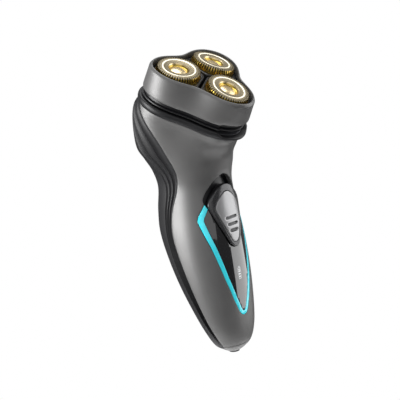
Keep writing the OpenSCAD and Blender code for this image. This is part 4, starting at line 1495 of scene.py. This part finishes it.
@dataclass
class Studio:
    """Pale floor, soft lights and the camera."""

    azimuth: float = -47.43
    elevation: float = 11.48
    roll: float = -7.08
    place: tuple[float, float, float] = (-0.3945, -0.3589, 0.1884)
    lens: float = 96.3
    shift: tuple[float, float] = (-0.0279, 0.0051)
    floor_z: float = -0.14
    floor_r: float = 0.2

    def build_camera(self) -> None:
        """Places the camera by its direction, roll and lens."""
        a, e = math.radians(self.azimuth), math.radians(self.elevation)
        back = Vector((math.sin(a) * math.cos(e), -math.cos(a) * math.cos(e), math.sin(e)))
        right = Vector((math.cos(a), math.sin(a), 0))
        up = back.cross(right)
        turn = math.radians(self.roll)
        rolled_right = right * math.cos(turn) + up * math.sin(turn)
        rolled_up = up * math.cos(turn) - right * math.sin(turn)
        lens = bpy.data.cameras.new("camera")
        lens.lens, lens.sensor_width = self.lens, 36.0
        lens.shift_x, lens.shift_y = self.shift
        lens.clip_start, lens.clip_end = 0.01, 20
        camera = bpy.data.objects.new("camera", lens)
        bpy.context.scene.collection.objects.link(camera)
        columns = Matrix((rolled_right, rolled_up, back)).transposed()
        camera.matrix_world = Matrix.Translation(self.place) @ columns.to_4x4()
        bpy.context.scene.camera = camera

    def build_floor(self) -> None:
        """Lays a round pale floor well under the object."""
        bm = bmesh.new()
        bmesh.ops.create_circle(bm, cap_ends=True, segments=96, radius=self.floor_r)
        bmesh.ops.translate(bm, vec=(0, 0, self.floor_z), verts=bm.verts)
        mesh = bpy.data.meshes.new("floor")
        bm.to_mesh(mesh)
        bm.free()
        floor = bpy.data.objects.new("floor", mesh)
        bpy.context.scene.collection.objects.link(floor)
        material, shader = new_material("floor_paper")
        shader.inputs["Base Color"].default_value = (0.9, 0.9, 0.9, 1)
        shader.inputs["Roughness"].default_value = 0.9
        shader.inputs["Emission Color"].default_value = (1, 1, 1, 1)
        shader.inputs["Emission Strength"].default_value = 0.3
        mesh.materials.append(material)

    def add_light(self, name: str, side: float, ahead: float, above: float,
                  size: tuple[float, float], power: float,
                  target: tuple[float, float, float] = (0, 0.01, 0.09)) -> None:
        """Adds a soft rectangular light that faces the object.

        Args:
            name: The light's name.
            side: Metres to the camera's right of the target.
            ahead: Metres from the target towards the camera.
            above: Metres above the target.
            size: Width and height.
            power: Watts.
            target: The point that it faces.
        """
        a = math.radians(self.azimuth)
        right = Vector((math.cos(a), math.sin(a), 0))
        towards = Vector((math.sin(a), -math.cos(a), 0))
        light = bpy.data.lights.new(name, "AREA")
        light.shape, light.size, light.size_y = "RECTANGLE", *size
        light.energy = power
        lamp = bpy.data.objects.new(name, light)
        bpy.context.scene.collection.objects.link(lamp)
        centre = Vector(target)
        lamp.location = centre + right * side + towards * ahead + Vector((0, 0, above))
        lamp.rotation_euler = (centre - lamp.location).to_track_quat("-Z", "Y").to_euler()

    def build_lights(self) -> None:
        """Sets the white backdrop, the dim room that lights the object, and the soft boxes."""
        world = bpy.data.worlds.new("studio")
        bpy.context.scene.world = world
        world.use_nodes = True
        tree = world.node_tree
        room = tree.nodes["Background"]
        coords = tree.nodes.new("ShaderNodeTexCoord")
        split = tree.nodes.new("ShaderNodeSeparateXYZ")
        ramp = tree.nodes.new("ShaderNodeValToRGB")
        ramp.color_ramp.elements[0].position, ramp.color_ramp.elements[1].position = 0.3, 0.95
        ramp.color_ramp.elements[0].color = (0.1, 0.1, 0.1, 1)
        ramp.color_ramp.elements[1].color = (0.42, 0.42, 0.43, 1)
        half = tree.nodes.new("ShaderNodeMath")
        half.operation = "MULTIPLY_ADD"
        half.inputs[1].default_value, half.inputs[2].default_value = 0.5, 0.5
        paper = tree.nodes.new("ShaderNodeBackground")
        paper.inputs["Color"].default_value = (1, 1, 1, 1)
        seen = tree.nodes.new("ShaderNodeLightPath")
        mix = tree.nodes.new("ShaderNodeMixShader")
        link = tree.links.new
        link(coords.outputs["Generated"], split.inputs["Vector"])
        link(split.outputs["Z"], half.inputs[0])
        link(half.outputs["Value"], ramp.inputs["Fac"])
        link(ramp.outputs["Color"], room.inputs["Color"])
        link(seen.outputs["Is Camera Ray"], mix.inputs["Fac"])
        link(room.outputs["Background"], mix.inputs[1])
        link(paper.outputs["Background"], mix.inputs[2])
        link(mix.outputs["Shader"], tree.nodes["World Output"].inputs["Surface"])
        self.add_light("key_left", -0.52, 0.16, 0.06, (0.3, 0.45), 6.4)
        self.add_light("fill_front", 0.2, 0.75, 0.3, (0.9, 0.8), 2.0)
        self.add_light("top", 0.05, -0.05, 0.7, (0.5, 0.5), 4.5)
        self.add_light("rim_right", 0.6, -0.12, 0.1, (0.5, 0.9), 3.8)
        bpy.context.scene.view_settings.view_transform = "Standard"

    def build(self) -> None:
        """Builds the stage."""
        self.build_camera()
        self.build_floor()
        self.build_lights()


def main() -> None:
    """Builds the shaver's pieces in order."""
    logging.basicConfig(level=logging.INFO, format="%(message)s")
    Studio().build()
    FrontShell().build()
    BackCover().build()
    BottomCap().build()
    FrontPanel().build()
    PowerSwitch().build()
    LobedRings().build()
    for lobe in LOBES:
        FloatingCap(lobe).build()
    dress_carried_nodes()


if __name__ == "__main__":
    main()
